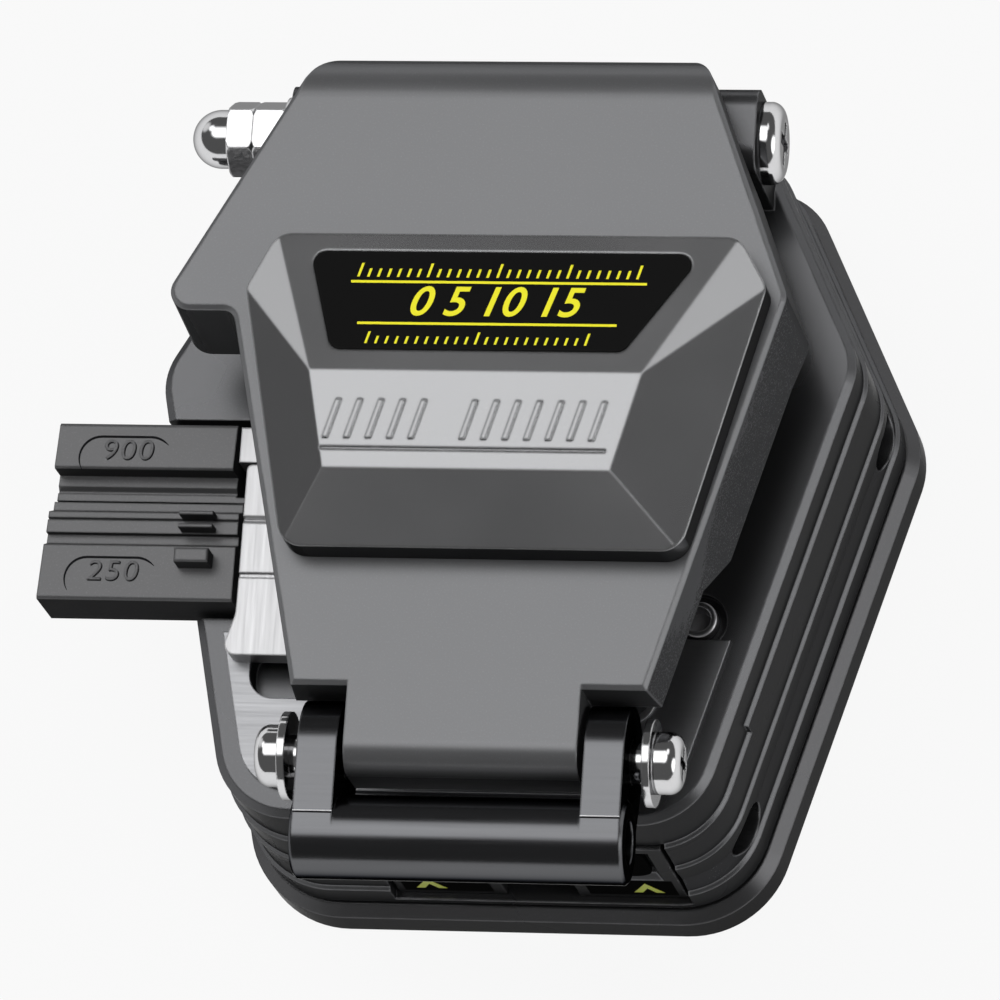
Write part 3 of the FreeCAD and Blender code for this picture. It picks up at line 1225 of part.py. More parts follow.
def on_rear_facet(shape):
    """Tilt a flat shape made at Z = 0 so that it lies on the badge's rear facet."""
    rear_y = BADGE_OUTLINE[0][1]
    shape.translate(V(0, -rear_y, 0))
    shape.rotate(V(0, 0, 0), X_AXIS, -math.degrees(rear_facet_tilt()))
    shape.translate(V(0, rear_y, LID_TOP + BADGE_RIM))
    return shape


def badge_label_corners(radius):
    stretch = 1 / math.cos(rear_facet_tilt())
    rear_y = BADGE_OUTLINE[0][1]
    corners = []
    for x, y in BADGE_LABEL:
        corners.append((x, rear_y - (rear_y - y) * stretch, radius))
    return corners


def badge_ribs():
    top = LID_TOP + BADGE_RISE
    shift = (RIB_REAR_Y - RIB_FRONT_Y) * RIB_SLANT
    ribs = []
    for start, count in RIB_ROWS:
        for i in range(count):
            x = start + RIB_PITCH * i
            rib = [(x, RIB_FRONT_Y, 0.0), (x + RIB_WIDTH, RIB_FRONT_Y, 0.0),
                   (x + RIB_WIDTH + shift, RIB_REAR_Y, 0.0), (x + shift, RIB_REAR_Y, 0.0)]
            ribs.append(slab(rib, top - 0.2, top + RIB_PROUD))
    return ribs


def make_badge():
    badge = badge_form().common(slab(BADGE_OUTLINE, LID_TOP - 1, FAR))
    badge = fuse_all([badge] + badge_ribs())
    top = LID_TOP + BADGE_RISE
    recess = slab(badge_label_corners(BADGE_LABEL_RADIUS), -BADGE_LABEL_DEPTH, 5.0, SEAT_GAP)
    groove = box(GROOVE_LEFT_X, GROOVE_RIGHT_X, GROOVE_Y - GROOVE_WIDTH, GROOVE_Y, top - GROOVE_DEPTH, FAR)
    return cut_all(badge, [on_rear_facet(recess), groove])


def make_badge_label():
    label = slab(badge_label_corners(BADGE_LABEL_RADIUS), -BADGE_LABEL_DEPTH, 0.05)
    return on_rear_facet(label)


# ==================================================================== lever
def link_plate(x0, x1):
    """Arm in side view: the eye and the bar's end joined by their tangents."""
    run = math.hypot(BAR_Y - LEVER_Y, BAR_Z - LEVER_Z)
    heading = math.atan2(BAR_Z - LEVER_Z, BAR_Y - LEVER_Y)
    lean = math.acos((EYE_RADIUS - BAR_RADIUS) / run)
    points = []
    for sign, centre, radius in ((1, (LEVER_Y, LEVER_Z), EYE_RADIUS), (1, (BAR_Y, BAR_Z), BAR_RADIUS),
                                 (-1, (BAR_Y, BAR_Z), BAR_RADIUS), (-1, (LEVER_Y, LEVER_Z), EYE_RADIUS)):
        angle = heading + sign * lean
        points.append((centre[0] + radius * math.cos(angle), centre[1] + radius * math.sin(angle)))
    web = profile_x(points, x0, x1)
    eye = cylinder_x(EYE_RADIUS, x0, x1, LEVER_Y, LEVER_Z)
    end = cylinder_x(BAR_RADIUS, x0, x1, BAR_Y, BAR_Z)
    return fuse_all([web, eye, end])


def make_front_lever():
    bar = cylinder_x(BAR_RADIUS, -BAR_HALF_LENGTH, BAR_HALF_LENGTH, BAR_Y, BAR_Z)
    bar = bar.makeChamfer(0.3, [edge for edge in bar.Edges if len(edge.Vertexes) == 1])
    lever = fuse_all([bar, link_plate(-ARM_OUTER, -ARM_INNER), link_plate(ARM_INNER, ARM_OUTER)])
    tools = [cylinder_x(SHOULDER_RADIUS + RUN_GAP, -FAR / 2, FAR / 2, LEVER_Y, LEVER_Z),
             cylinder_x(BAR_BORE, -FAR / 2, FAR / 2, BAR_Y, BAR_Z)]
    return cut_all(lever, tools)


def lever_screw(side):
    """Shoulder screw through one arm of the lever into the lid's tongue."""
    inner = TONGUE_HALF_WIDTH
    seat = ARM_OUTER + LEVER_WASHER_GAP + LEVER_WASHER_THICKNESS
    shoulder = cylinder_x(SHOULDER_RADIUS, inner, seat, LEVER_Y, LEVER_Z)
    tip = cylinder_x(SCREW_TIP_RADIUS, inner - SCREW_TIP_LENGTH + 2.5, inner, LEVER_Y, LEVER_Z)
    head = pan_head_x(LEVER_HEAD_RADIUS, LEVER_HEAD_THICKNESS, seat, LEVER_Y, LEVER_Z, 1, 3.4)
    screw = fuse_all([shoulder, tip, head])
    if side < 0:
        screw = screw.mirror(V(0, 0, 0), X_AXIS)
    return screw


def make_lever_screws():
    return Part.makeCompound([lever_screw(side) for side in (-1, 1)])


def make_lever_washers():
    washers = []
    for side in (-1, 1):
        x0 = ARM_OUTER + LEVER_WASHER_GAP
        ring = cylinder_x(LEVER_WASHER_RADIUS, x0, x0 + LEVER_WASHER_THICKNESS, LEVER_Y, LEVER_Z)
        ring = ring.cut(cylinder_x(SHOULDER_RADIUS, 0, FAR, LEVER_Y, LEVER_Z))
        if side < 0:
            ring = ring.mirror(V(0, 0, 0), X_AXIS)
        washers.append(ring)
    return Part.makeCompound(washers)


# ===================================================================== build
def main():
    os.makedirs("parts", exist_ok=True)
    save("base_plate", make_base_plate())
    save("rubber_pad", make_rubber_pad())
    save("base_screws", make_base_screws())
    save("body", make_body())
    save("platform_left", make_platform(True))
    save("platform_right", make_platform(False))
    save("lower_pads", make_lower_pads())
    save("platform_screws", make_platform_screws())
    save("deck_plate", make_deck_plate())
    save("deck_stop", make_deck_stop())
    save("striker_disc", make_striker())
    save("fibre_adapter", make_adapter())
    save("adapter_dowels", make_adapter_dowels())
    save("end_stop", make_end_stop())
    save("slide_rail", make_rail())
    save("rail_screws", make_rail_screws())
    save("rail_carriage", make_carriage())
    save("slider_block", make_slider())
    save("push_face", make_push_face())
    save("push_label", make_push_label())
    save("blade_wheel", make_blade_wheel())
    save("blade_hub", make_blade_hub())
    save("blade_bolt", make_blade_bolt())
    save("hinge_bolt", make_hinge_bolt())
    save("hinge_washer", make_hinge_washer())
    save("hinge_jam_nut", make_jam_nut())
    save("hinge_acorn_nut", make_acorn_nut())
    save("lid", make_lid())
    save("clamp_holder", make_clamp_holder())
    save("upper_pads", make_upper_pads())
    save("anvil", make_anvil())
    save("anvil_pad", make_anvil_pad())
    save("magnet_post", make_magnet_post())
    save("lid_magnet", make_lid_magnet())
    save("badge", make_badge())
    save("badge_label", make_badge_label())
    save("front_lever", make_front_lever())
    save("lever_screws", make_lever_screws())
    save("lever_washers", make_lever_washers())


main()
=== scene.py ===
"""Looks of the fibre cleaver: paints, metals, rubber, label graphics, adapter numbers and studio."""

import math

import bmesh
import bpy
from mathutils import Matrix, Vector


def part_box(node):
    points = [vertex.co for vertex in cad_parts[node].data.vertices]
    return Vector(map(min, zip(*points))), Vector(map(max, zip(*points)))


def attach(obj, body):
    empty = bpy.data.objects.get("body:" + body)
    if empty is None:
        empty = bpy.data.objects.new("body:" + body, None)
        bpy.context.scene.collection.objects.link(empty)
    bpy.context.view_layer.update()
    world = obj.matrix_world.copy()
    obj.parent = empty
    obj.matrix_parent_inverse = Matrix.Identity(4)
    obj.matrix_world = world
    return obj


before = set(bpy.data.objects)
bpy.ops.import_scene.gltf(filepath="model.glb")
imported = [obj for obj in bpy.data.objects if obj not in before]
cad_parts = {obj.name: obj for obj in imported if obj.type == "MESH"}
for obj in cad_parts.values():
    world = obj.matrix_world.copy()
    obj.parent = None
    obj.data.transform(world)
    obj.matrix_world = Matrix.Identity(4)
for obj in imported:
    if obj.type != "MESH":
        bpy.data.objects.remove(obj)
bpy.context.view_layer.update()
MM = 0.001


# ------------------------------------------------------------------ node tools
COLOUR = "NodeSocketColor"
VALUE = "NodeSocketFloat"
VECTOR = "NodeSocketVector"
SURFACE_OUTPUTS = [("Colour", COLOUR), ("Roughness", VALUE), ("Height", VALUE)]


def add(tree, kind, **settings):
    node = tree.nodes.new(kind)
    for name, value in settings.items():
        setattr(node, name, value)
    return node


def feed(tree, target, value):
    """Link an output to an input, or set the input to a constant."""
    if isinstance(value, bpy.types.NodeSocket):
        tree.links.new(value, target)
    else:
        target.default_value = value


def feed_all(tree, node, **values):
    """Feed the inputs of a node by their names, with _ for a space."""
    for label, value in values.items():
        feed(tree, node.inputs[label.replace("_", " ")], value)


def math_node(tree, operation, *values):
    node = add(tree, "ShaderNodeMath", operation=operation)
    for target, value in zip(node.inputs, values):
        feed(tree, target, value)
    return node.outputs[0]


def mix_colour(tree, factor, a, b, blend="MIX"):
    node = add(tree, "ShaderNodeMix", data_type="RGBA", blend_type=blend)
    for target, value in ((node.inputs["Factor"], factor), (node.inputs[6], a), (node.inputs[7], b)):
        feed(tree, target, value)
    return node.outputs[2]


def object_place(tree):
    return add(tree, "ShaderNodeTexCoord").outputs["Object"]


def noise(tree, vector, scale, detail, roughness=0.5):
    node = add(tree, "ShaderNodeTexNoise")
    feed_all(tree, node, Vector=vector, Scale=scale, Detail=detail, Roughness=roughness)
    return node.outputs["Fac"]


def ramp(tree, value, low, high, interpolation="LINEAR"):
    """Nought at low, one at high, and clamped past them."""
    node = add(tree, "ShaderNodeMapRange", clamp=True, interpolation_type=interpolation)
    feed_all(tree, node, Value=value, From_Min=low, From_Max=high)
    return node.outputs["Result"]


def dot_product(tree, a, b):
    node = add(tree, "ShaderNodeVectorMath", operation="DOT_PRODUCT")
    feed(tree, node.inputs[0], a)
    feed(tree, node.inputs[1], b)
    return node.outputs["Value"]


def varied(tree, base, pattern, spread):
    """A value that a pattern of mean 0.5 moves up and down within the spread."""
    swing = math_node(tree, "MULTIPLY", math_node(tree, "SUBTRACT", pattern, 0.5), spread)
    return math_node(tree, "ADD", base, swing)


def bevelled_normal(tree, radius):
    node = add(tree, "ShaderNodeBevel", samples=6)
    feed(tree, node.inputs["Radius"], radius)
    return node.outputs[0]


def start_group(name, inputs, outputs):
    group = bpy.data.node_groups.new(name, "ShaderNodeTree")
    for in_out, sockets in (("INPUT", inputs), ("OUTPUT", outputs)):
        for label, kind in sockets:
            group.interface.new_socket(name=label, in_out=in_out, socket_type=kind)
    return group, group.nodes.new("NodeGroupInput").outputs, group.nodes.new("NodeGroupOutput")


def place_group(tree, group, **values):
    node = add(tree, "ShaderNodeGroup", node_tree=group)
    feed_all(tree, node, **values)
    return node.outputs


# ------------------------------------------------------------- shared effects
def make_sprayed_paint():
    """Fine orange peel and flake of a sprayed metal paint: colour, roughness and height."""
    group, given, out = start_group(
        "sprayed_paint",
        [("Colour", COLOUR), ("Flake Colour", COLOUR), ("Flake", VALUE), ("Roughness", VALUE),
         ("Peel", VALUE)],
        SURFACE_OUTPUTS)
    where = object_place(group)
    specks = ramp(group, noise(group, where, 5200.0, 2.0), 0.56, 0.72)
    flake = math_node(group, "MULTIPLY", specks, given["Flake"])
    shade = mix_colour(group, flake, given["Colour"], given["Flake Colour"])
    cloud = noise(group, where, 38.0, 3.0)
    cloud_shade = math_node(group, "MULTIPLY_ADD", cloud, 0.16, 0.92)
    peel = noise(group, where, 900.0, 3.0, 0.55)
    feed_all(group, out,
             Colour=mix_colour(group, 1.0, shade, cloud_shade, "MULTIPLY"),
             Roughness=varied(group, given["Roughness"], cloud, 0.12),
             Height=math_node(group, "MULTIPLY", peel, given["Peel"]))
    return group


def make_brushed_grain():
    """Directional scratches of brushed or ground metal: colour, roughness and height."""
    group, given, out = start_group(
        "brushed_grain",
        [("Colour", COLOUR), ("Direction", VECTOR), ("Depth", VALUE), ("Roughness", VALUE)],
        SURFACE_OUTPUTS)
    scaled = add(group, "ShaderNodeVectorMath", operation="MULTIPLY")
    feed(group, scaled.inputs[0], object_place(group))
    feed(group, scaled.inputs[1], given["Direction"])
    lines = noise(group, scaled.outputs[0], 2600.0, 4.0, 0.65)
    fade = math_node(group, "MULTIPLY", ramp(group, lines, 0.35, 0.8),
                     math_node(group, "MULTIPLY", given["Depth"], 0.5))
    feed_all(group, out,
             Colour=mix_colour(group, fade, given["Colour"], (0.12, 0.12, 0.125, 1)),
             Roughness=varied(group, given["Roughness"], lines, 0.25),
             Height=math_node(group, "MULTIPLY", lines, given["Depth"]))
    return group


def make_edge_wear_and_highlight():
    """Mask of the edges that hands wear bright, which also lays a painted highlight along them, from the
    gap between flat and rounded normals.
    """
    group, given, out = start_group("edge_wear_and_highlight", [("Width", VALUE), ("Strength", VALUE)], [("Mask", VALUE)])
    flat = add(group, "ShaderNodeNewGeometry").outputs["Normal"]
    edge = ramp(group, dot_product(group, bevelled_normal(group, given["Width"]), flat), 0.995, 0.80)
    broken = ramp(group, noise(group, object_place(group), 420.0, 3.0), 0.30, 0.62)
    mask = math_node(group, "MULTIPLY", math_node(group, "MULTIPLY", edge, broken), given["Strength"])
    feed_all(group, out, Mask=mask)
    return group


SPRAYED = make_sprayed_paint()
BRUSHED = make_brushed_grain()
EDGE_WEAR_AND_HIGHLIGHT = make_edge_wear_and_highlight()


# ------------------------------------------------------------------ materials
WHITE = (1.0, 1.0, 1.0, 1.0)
DARK_GRAZE = (0.0, 0.0, 0.0, 1.0)     # tint that keeps a surface dark at a low angle
CHROME_GRAZE = (0.30, 0.30, 0.30, 1.0)
# Which way scratches run: a small factor draws them out along its axis.
ALL_WAYS = (1.0, 1.0, 1.0)
ALONG_X = (0.03, 1.0, 1.0)
ALONG_Y = (1.0, 0.03, 1.0)
MOSTLY_ALONG_Y = (1.0, 0.05, 1.0)


def start_material(name):
    material = bpy.data.materials.new(name)
    material.use_nodes = True
    tree = material.node_tree
    return material, tree, tree.nodes["Principled BSDF"]


def bumped(tree, height, strength, distance, radius):
    """Normal with a bump, over edges that are rounded to a radius in metres."""
    bump = add(tree, "ShaderNodeBump")
    feed_all(tree, bump, Strength=strength, Distance=distance, Height=height)
    if radius > 0:
        feed_all(tree, bump, Normal=bevelled_normal(tree, radius))
    return bump.outputs[0]


def lightened(colour, gain, lift=0.0, cap=math.inf):
    return tuple(min(channel * gain + lift, cap) for channel in colour) + (1,)


def sprayed_material(name, coat, edge, wear_and_highlight_colour, bump, specular, metallic):
    """Sprayed surface with edges worn bright, partly as a painted highlight; coat and edge hold the inputs
    of the shared effects.
    """
    material, tree, shader = start_material(name)
    sprayed = place_group(tree, SPRAYED, **coat)
    wear_and_highlight = place_group(tree, EDGE_WEAR_AND_HIGHLIGHT, **edge)
    feed_all(tree, shader,
             Base_Color=mix_colour(tree, wear_and_highlight["Mask"], sprayed["Colour"], wear_and_highlight_colour),
             Roughness=sprayed["Roughness"], Metallic=metallic, Specular_IOR_Level=specular,
             Specular_Tint=DARK_GRAZE, Normal=bumped(tree, sprayed["Height"], **bump))
    return material


def paint(name, colour, flake, roughness, wear_and_highlight_strength, metallic, specular, peel=0.25, radius=0.0003):
    """Sprayed metal paint, worn bright at its edges, which is partly a painted highlight."""
    return sprayed_material(
        name, dict(Colour=(*colour, 1), Flake_Colour=(*flake, 1), Flake=0.35, Roughness=roughness,
                   Peel=peel),
        dict(Width=0.00045, Strength=wear_and_highlight_strength), lightened(colour, 2.6, 0.03, 0.6),
        dict(strength=0.25, distance=0.00004, radius=radius), specular, metallic)


def plastic(name, colour, roughness, specular, metallic=0.0, spark=0.3, radius=0.00025):
    """Moulded plastic, rubber or film."""
    return sprayed_material(
        name, dict(Colour=(*colour, 1), Flake_Colour=lightened(colour, 1.5), Flake=spark,
                   Roughness=roughness, Peel=0.6),
        # Edges lighter: partly wear, partly a painted highlight.
        dict(Width=0.0004, Strength=0.2), lightened(colour, 2.0, 0.02, 0.5),
        dict(strength=0.35, distance=0.00006, radius=radius), specular, metallic)


def ink(name, colour, roughness=0.35, specular=0.3):
    """Plain printed or moulded mark, or a near-black painted shade."""
    return plastic(name, colour, roughness, specular, spark=0.0, radius=0.0)


def metal(name, colour, roughness, direction, depth, radius=0.0002, graze=WHITE):
    """Bare metal with scratches of a depth from 0 to 1."""
    material, tree, shader = start_material(name)
    grain = place_group(tree, BRUSHED, Colour=(*colour, 1), Direction=direction, Depth=depth,
                        Roughness=roughness)
    feed_all(tree, shader, Base_Color=grain["Colour"], Roughness=grain["Roughness"], Metallic=1.0,
             Specular_Tint=graze, Normal=bumped(tree, grain["Height"], 0.2, 0.00003, radius))
    return material


LID_PAINT = paint("lid_grey_paint", (0.175, 0.177, 0.182), (0.23, 0.23, 0.24), 0.33,
                  wear_and_highlight_strength=0.4, metallic=0.6, specular=0.0, peel=0.1)
BODY_PAINT = paint("housing_grey_paint", (0.115, 0.116, 0.120), (0.16, 0.16, 0.17), 0.27,
                   wear_and_highlight_strength=0.7, metallic=0.8, specular=0.07)
BASE_PAINT = paint("base_dark_paint", (0.095, 0.095, 0.098), (0.13, 0.13, 0.135), 0.27,
                   wear_and_highlight_strength=0.6, metallic=0.8, specular=0.07)
BADGE_PAINT = paint("badge_gloss_paint", (0.29, 0.292, 0.298), (0.33, 0.33, 0.34), 0.20,
                    wear_and_highlight_strength=0.2, metallic=0.9, specular=0.0, peel=0.02, radius=0.0004)
LEVER_METAL = metal("lever_dark_metal", (0.125, 0.127, 0.133), 0.20, ALONG_X, 0.10, 0.0003, DARK_GRAZE)
CHROME = metal("polished_fastener_steel", (0.70, 0.70, 0.71), 0.09, ALL_WAYS, 0.08, 0.00025, CHROME_GRAZE)
PLATFORM_STEEL = metal("ground_platform_steel", (0.60, 0.60, 0.61), 0.40, ALONG_Y, 0.14, 0.0003)
STEEL = metal("machined_steel", (0.54, 0.54, 0.55), 0.36, MOSTLY_ALONG_Y, 0.35)
CARBIDE = metal("polished_carbide", (0.66, 0.66, 0.68), 0.10, ALL_WAYS, 0.15, 0.0001)
DECK_PLATE = metal("satin_deck_plate", (0.36, 0.363, 0.375), 0.38, ALONG_X, 0.25)
ADAPTER_PLASTIC = plastic("adapter_dark_plastic", (0.135, 0.135, 0.138), 0.36, specular=0.0, metallic=0.5)
RUBBER = plastic("pad_black_rubber", (0.020, 0.020, 0.021), 0.72, specular=0.25)
LABEL_BLACK = plastic("label_black_film", (0.009, 0.009, 0.009), 0.34, specular=0.0, spark=0.0)
LABEL_YELLOW = ink("label_yellow_ink", (0.92, 0.86, 0.04))
SIGNAL_YELLOW = ink("arrow_yellow_ink", (0.80, 0.90, 0.02))
# Near-black painted shade: the shadow under the raised numbers, the shade in the engraved arcs and in the
# gap at the lever joints.
PAINTED_SHADE = ink("painted_shade_black", (0.012, 0.012, 0.013), 0.6, 0.2)

FINISHES = {
    "lid": LID_PAINT, "body": BODY_PAINT, "base_plate": BASE_PAINT, "badge": BADGE_PAINT,
    "badge_label": LABEL_BLACK, "push_label": LABEL_BLACK, "push_face": BODY_PAINT,
    "front_lever": LEVER_METAL, "fibre_adapter": ADAPTER_PLASTIC, "deck_plate": DECK_PLATE,
    "platform_left": PLATFORM_STEEL, "platform_right": PLATFORM_STEEL, "end_stop": PLATFORM_STEEL,
    "rubber_pad": RUBBER, "lower_pads": RUBBER, "upper_pads": RUBBER, "anvil_pad": RUBBER,
    "hinge_bolt": CHROME, "hinge_washer": CHROME, "hinge_jam_nut": CHROME, "hinge_acorn_nut": CHROME,
    "lever_screws": CHROME, "lever_washers": CHROME, "blade_wheel": CARBIDE, "blade_hub": STEEL,
    "blade_bolt": STEEL, "slide_rail": STEEL, "rail_carriage": STEEL, "rail_screws": STEEL,
    "base_screws": STEEL, "platform_screws": STEEL, "deck_stop": STEEL, "striker_disc": STEEL,
    "adapter_dowels": STEEL, "anvil": STEEL, "lid_magnet": CHROME, "magnet_post": BASE_PAINT,
    "clamp_holder": BASE_PAINT, "slider_block": BASE_PAINT,
}
for node_name, node_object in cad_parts.items():
    node_object.data.materials.clear()
    node_object.data.materials.append(FINISHES[node_name])


# ----------------------------------------------------------------- thin pieces
# Lengths of the thin pieces are in millimetres.
CLEAR = 0.004            # what a mark stands off the face under it
INK_HEIGHT = 0.03


def link_object(name, mesh, material):
    mesh.materials.clear()
    mesh.materials.append(material)
    piece = bpy.data.objects.new(name, mesh)
    bpy.context.scene.collection.objects.link(piece)
    return piece


def add_piece(name, mesh, material, body):
    piece = link_object(name, mesh, material)
    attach(piece, body)


def mesh_piece(name, faces, material, body):
    """One piece from a list of polygons, each a list of 3-D points."""
    mesh = bpy.data.meshes.new(name)
    shape = bmesh.new()
    for points in faces:
        shape.faces.new([shape.verts.new(point) for point in points])
    bmesh.ops.remove_doubles(shape, verts=shape.verts, dist=1e-7)
    bmesh.ops.recalc_face_normals(shape, faces=shape.faces)
    shape.to_mesh(mesh)
    shape.free()
    add_piece(name, mesh, material, body)


def raised(outline, place_point, height):
    """Top and sides of a thin form, from its 2-D outline and the function that places its points."""
    top = [place_point(u, v, height) for u, v in outline]
    foot = [place_point(u, v, 0.0) for u, v in outline]
    faces = [top]
    for i in range(len(outline)):
        j = (i + 1) % len(outline)
        faces.append([foot[i], foot[j], top[j], top[i]])
    return faces


def bar(x0, x1, y0, y1, slant=0.0):
    """Outline of a bar whose sides lean with Y."""
    return [(x0 + slant * y0, y0), (x1 + slant * y0, y0), (x1 + slant * y1, y1), (x0 + slant * y1, y1)]


def number_piece(name, text, size, x, y, place_point, material, body, slot, height, slant, weight,
                 spacing=1.0, widen=1.0):
    """Plain numbers as a thin raised mesh, centred on X and Y of a face."""
    curve = bpy.data.curves.new(name, "FONT")
    curve.body = text
    curve.size = size
    curve.align_x = "CENTER"
    curve.align_y = "CENTER"
    curve.shear = slant
    curve.offset = weight
    curve.space_character = spacing
    curve.extrude = height / 2
    curve.resolution_u = 6
    holder = bpy.data.objects.new(name + "_text", curve)
    bpy.context.scene.collection.objects.link(holder)
    bpy.context.view_layer.update()
    mesh = bpy.data.meshes.new_from_object(holder.evaluated_get(bpy.context.evaluated_depsgraph_get()))
    bpy.data.objects.remove(holder)
    for vertex in mesh.vertices:
        px, py, pz = vertex.co
        vertex.co = place_point(x + px * widen, y + py, pz + height / 2)
    add_piece(name, mesh, material, body)


# ----------------------------------------------------------------- badge label
BADGE_REAR_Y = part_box("badge")[1][1] / MM
BADGE_REAR_Z = 61.1                     # height of the badge's sloping top at its rear edge
BADGE_TILT = math.atan2(2.4, 15.0)      # its top rises 2.4 mm in 15 mm towards the front
LABEL_LIFT = 0.055                      # what the printed face lies above that top

RULE_WIDTH = 0.27
RULES = [(-13.4, 16.3, -0.47), (-12.3, 13.7, -5.02)]     # left end, right end, front edge
TICK_PITCH = 1.0
TICK_SLANT = 0.25
# Each row of ticks: first X, Y of the feet, count, width, short and long height, ticks to a long one.
TICK_ROWS = [(-12.9, 0.2, 29, 0.26, 0.9, 1.5, 7), (-9.6, -7.1, 23, 0.24, 0.8, 1.3, 11)]


def on_label(x, y, height):
    """A point of the badge's label, from X, Y and the height over its print."""
    z = BADGE_REAR_Z + (BADGE_REAR_Y - y) * math.tan(BADGE_TILT)
    lift = LABEL_LIFT + height
    return Vector((x, y + lift * math.sin(BADGE_TILT), z + lift * math.cos(BADGE_TILT))) * MM


def make_label_graphics():
    """Yellow rules, two rows of ticks and plain numbers on the black label."""
    faces = []
    for x0, x1, y in RULES:
        faces += raised(bar(x0, x1, y, y + RULE_WIDTH), on_label, INK_HEIGHT)
    for first_x, foot, count, width, short, tall, group in TICK_ROWS:
        for i in range(count):
            x = first_x + i * TICK_PITCH
            rise = short if i % group else tall
            faces += raised(bar(x, x + width, foot, foot + rise, TICK_SLANT), on_label, INK_HEIGHT)
    mesh_piece("label_scale", faces, LABEL_YELLOW, "lid")
    number_piece("label_numbers", "0 5 10 15", 4.5, 1.1, -2.6, on_label, LABEL_YELLOW, "lid", "label",
                 height=INK_HEIGHT, slant=0.3, weight=0.06)


# -------------------------------------------------------------- adapter marks
ADAPTER_TOP = 39.0
NUMBER_SIZE = 3.0
# Shift of the painted shadow under each number, towards its lower right side.
SHADOW_SHIFT = (0.09, -0.10)
ARC_RADIUS = 2.3
ARC_WIDTH = 0.25
NUMBER_HEIGHT = 0.07
MARK_HEIGHT = 0.012
# Each fibre size in micrometres: X and Y of its number, then left end, right end and Y of its arc.
ADAPTER_MARKS = [
    ("900", -40.18, -11.0, -45.2, -35.9, -9.40),
    ("250", -40.75, -23.77, -45.7, -36.4, -22.15),
]


def on_adapter(x, y, height):
    return Vector((x, y, ADAPTER_TOP + CLEAR + height)) * MM


def arc_band(x0, x1, y):
    """Line along X that turns down by 126 degrees on its left and 54 on its right, with thin ends."""
    steps = 12
    right_x = x1 - ARC_RADIUS * 0.82
    points = []
    for centre_x, start, turn, thin_end in ((x0 + ARC_RADIUS, 1.20, 0.70, 0), (right_x, 0.50, 0.30, 1)):
        for i in range(steps + 1):
            share = i / steps
            angle = math.pi * (start - turn * share)
            width = ARC_WIDTH * (1 - 0.8 * (1 - abs(share - thin_end)) ** 3)
            points.append([(centre_x + radius * math.cos(angle), y - ARC_RADIUS + radius * math.sin(angle))
                           for radius in (ARC_RADIUS, ARC_RADIUS - width)])
    faces = []
    for (outer, inner), (next_outer, next_inner) in zip(points, points[1:]):
        faces += raised([next_outer, next_inner, inner, outer], on_adapter, MARK_HEIGHT)
    return faces


def make_adapter_marks():
    """Raised fibre sizes, each over a painted shadow and under a dark arc of painted shade."""
    style = dict(body="base", slot="adapter", slant=0.12, spacing=1.12, widen=1.1)
    shift_x, shift_y = SHADOW_SHIFT
    for label, x, y, arc_x0, arc_x1, arc_y in ADAPTER_MARKS:
        # Painted shadow: a near-black copy of each number, shifted to the side where its shade falls.
        number_piece("adapter_number_shadow_" + label, label, NUMBER_SIZE, x + shift_x, y + shift_y,
                     on_adapter, PAINTED_SHADE, height=MARK_HEIGHT, weight=0.004, **style)
        number_piece("adapter_number_" + label, label, NUMBER_SIZE, x, y,
                     on_adapter, ADAPTER_PLASTIC, height=NUMBER_HEIGHT, weight=-0.004, **style)
        # Dark arc: painted shade that stands for an engraved line.
        mesh_piece("adapter_arc_" + label, arc_band(arc_x0, arc_x1, arc_y), PAINTED_SHADE, "base")


# --------------------------------------------------------------- push chevrons
PUSH_LABEL_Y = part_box("push_label")[0][1] / MM
PUSH_FACE_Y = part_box("push_face")[0][1] / MM
CHEVRON_HALF = 1.6
CHEVRON_INNER = 0.7
LABEL_CHEVRON_FOOT = 18.9
LABEL_CHEVRON_PITCH = 4.6
FILM_INNER_X = 5.0
FILM_OUTER_X = 14.2
FILM_FOOT = 9.6
FILM_TOP = 14.9
FILM_CHEVRON_X = 11.3
FILM_CHEVRON_FOOT = 10.6
FILM_CHEVRON_LIFT = INK_HEIGHT + 0.002
FILM_CHEVRON_HEIGHT = 0.02


def facing_front(face_y, lift=0.0):
    """The function that places points on a face that looks to the front, from X, Z and height."""
    def place_point(x, z, height):
        return Vector((x, face_y - CLEAR - lift - height, z)) * MM
    return place_point


def chevron(x, foot, notch, tip):
    """Outline of a chevron that points up: its notch and tip are heights over its feet."""
    left = [(x - CHEVRON_HALF, foot), (x - CHEVRON_INNER, foot)]
    right = [(x + CHEVRON_INNER, foot), (x + CHEVRON_HALF, foot)]
    return [*left, (x, foot + notch), *right, (x, foot + tip)]


def make_push_arrows():
    """Five yellow chevrons on the push label that point the way it is pushed."""
    faces = []
    for i in range(-2, 3):
        outline = chevron(i * LABEL_CHEVRON_PITCH, LABEL_CHEVRON_FOOT, 1.5, 3.0)
        faces += raised(outline, facing_front(PUSH_LABEL_Y), INK_HEIGHT)
    mesh_piece("push_arrows", faces, SIGNAL_YELLOW, "slider")


def make_push_film():
    """Black film on each side of the notch of the push face, with one chevron on each."""
    film = []
    arrows = []
    for side in (-1, 1):
        corners = [(side * FILM_INNER_X, FILM_FOOT), (side * FILM_OUTER_X, FILM_FOOT),
                   (side * FILM_OUTER_X, FILM_TOP), (side * FILM_INNER_X, FILM_TOP)]
        film += raised(corners[::side], facing_front(PUSH_FACE_Y), INK_HEIGHT)
        outline = chevron(side * FILM_CHEVRON_X, FILM_CHEVRON_FOOT, 1.6, 3.4)
        arrows += raised(outline, facing_front(PUSH_FACE_Y, FILM_CHEVRON_LIFT), FILM_CHEVRON_HEIGHT)
    mesh_piece("push_film", film, LABEL_BLACK, "slider")
    mesh_piece("push_film_arrows", arrows, SIGNAL_YELLOW, "slider")


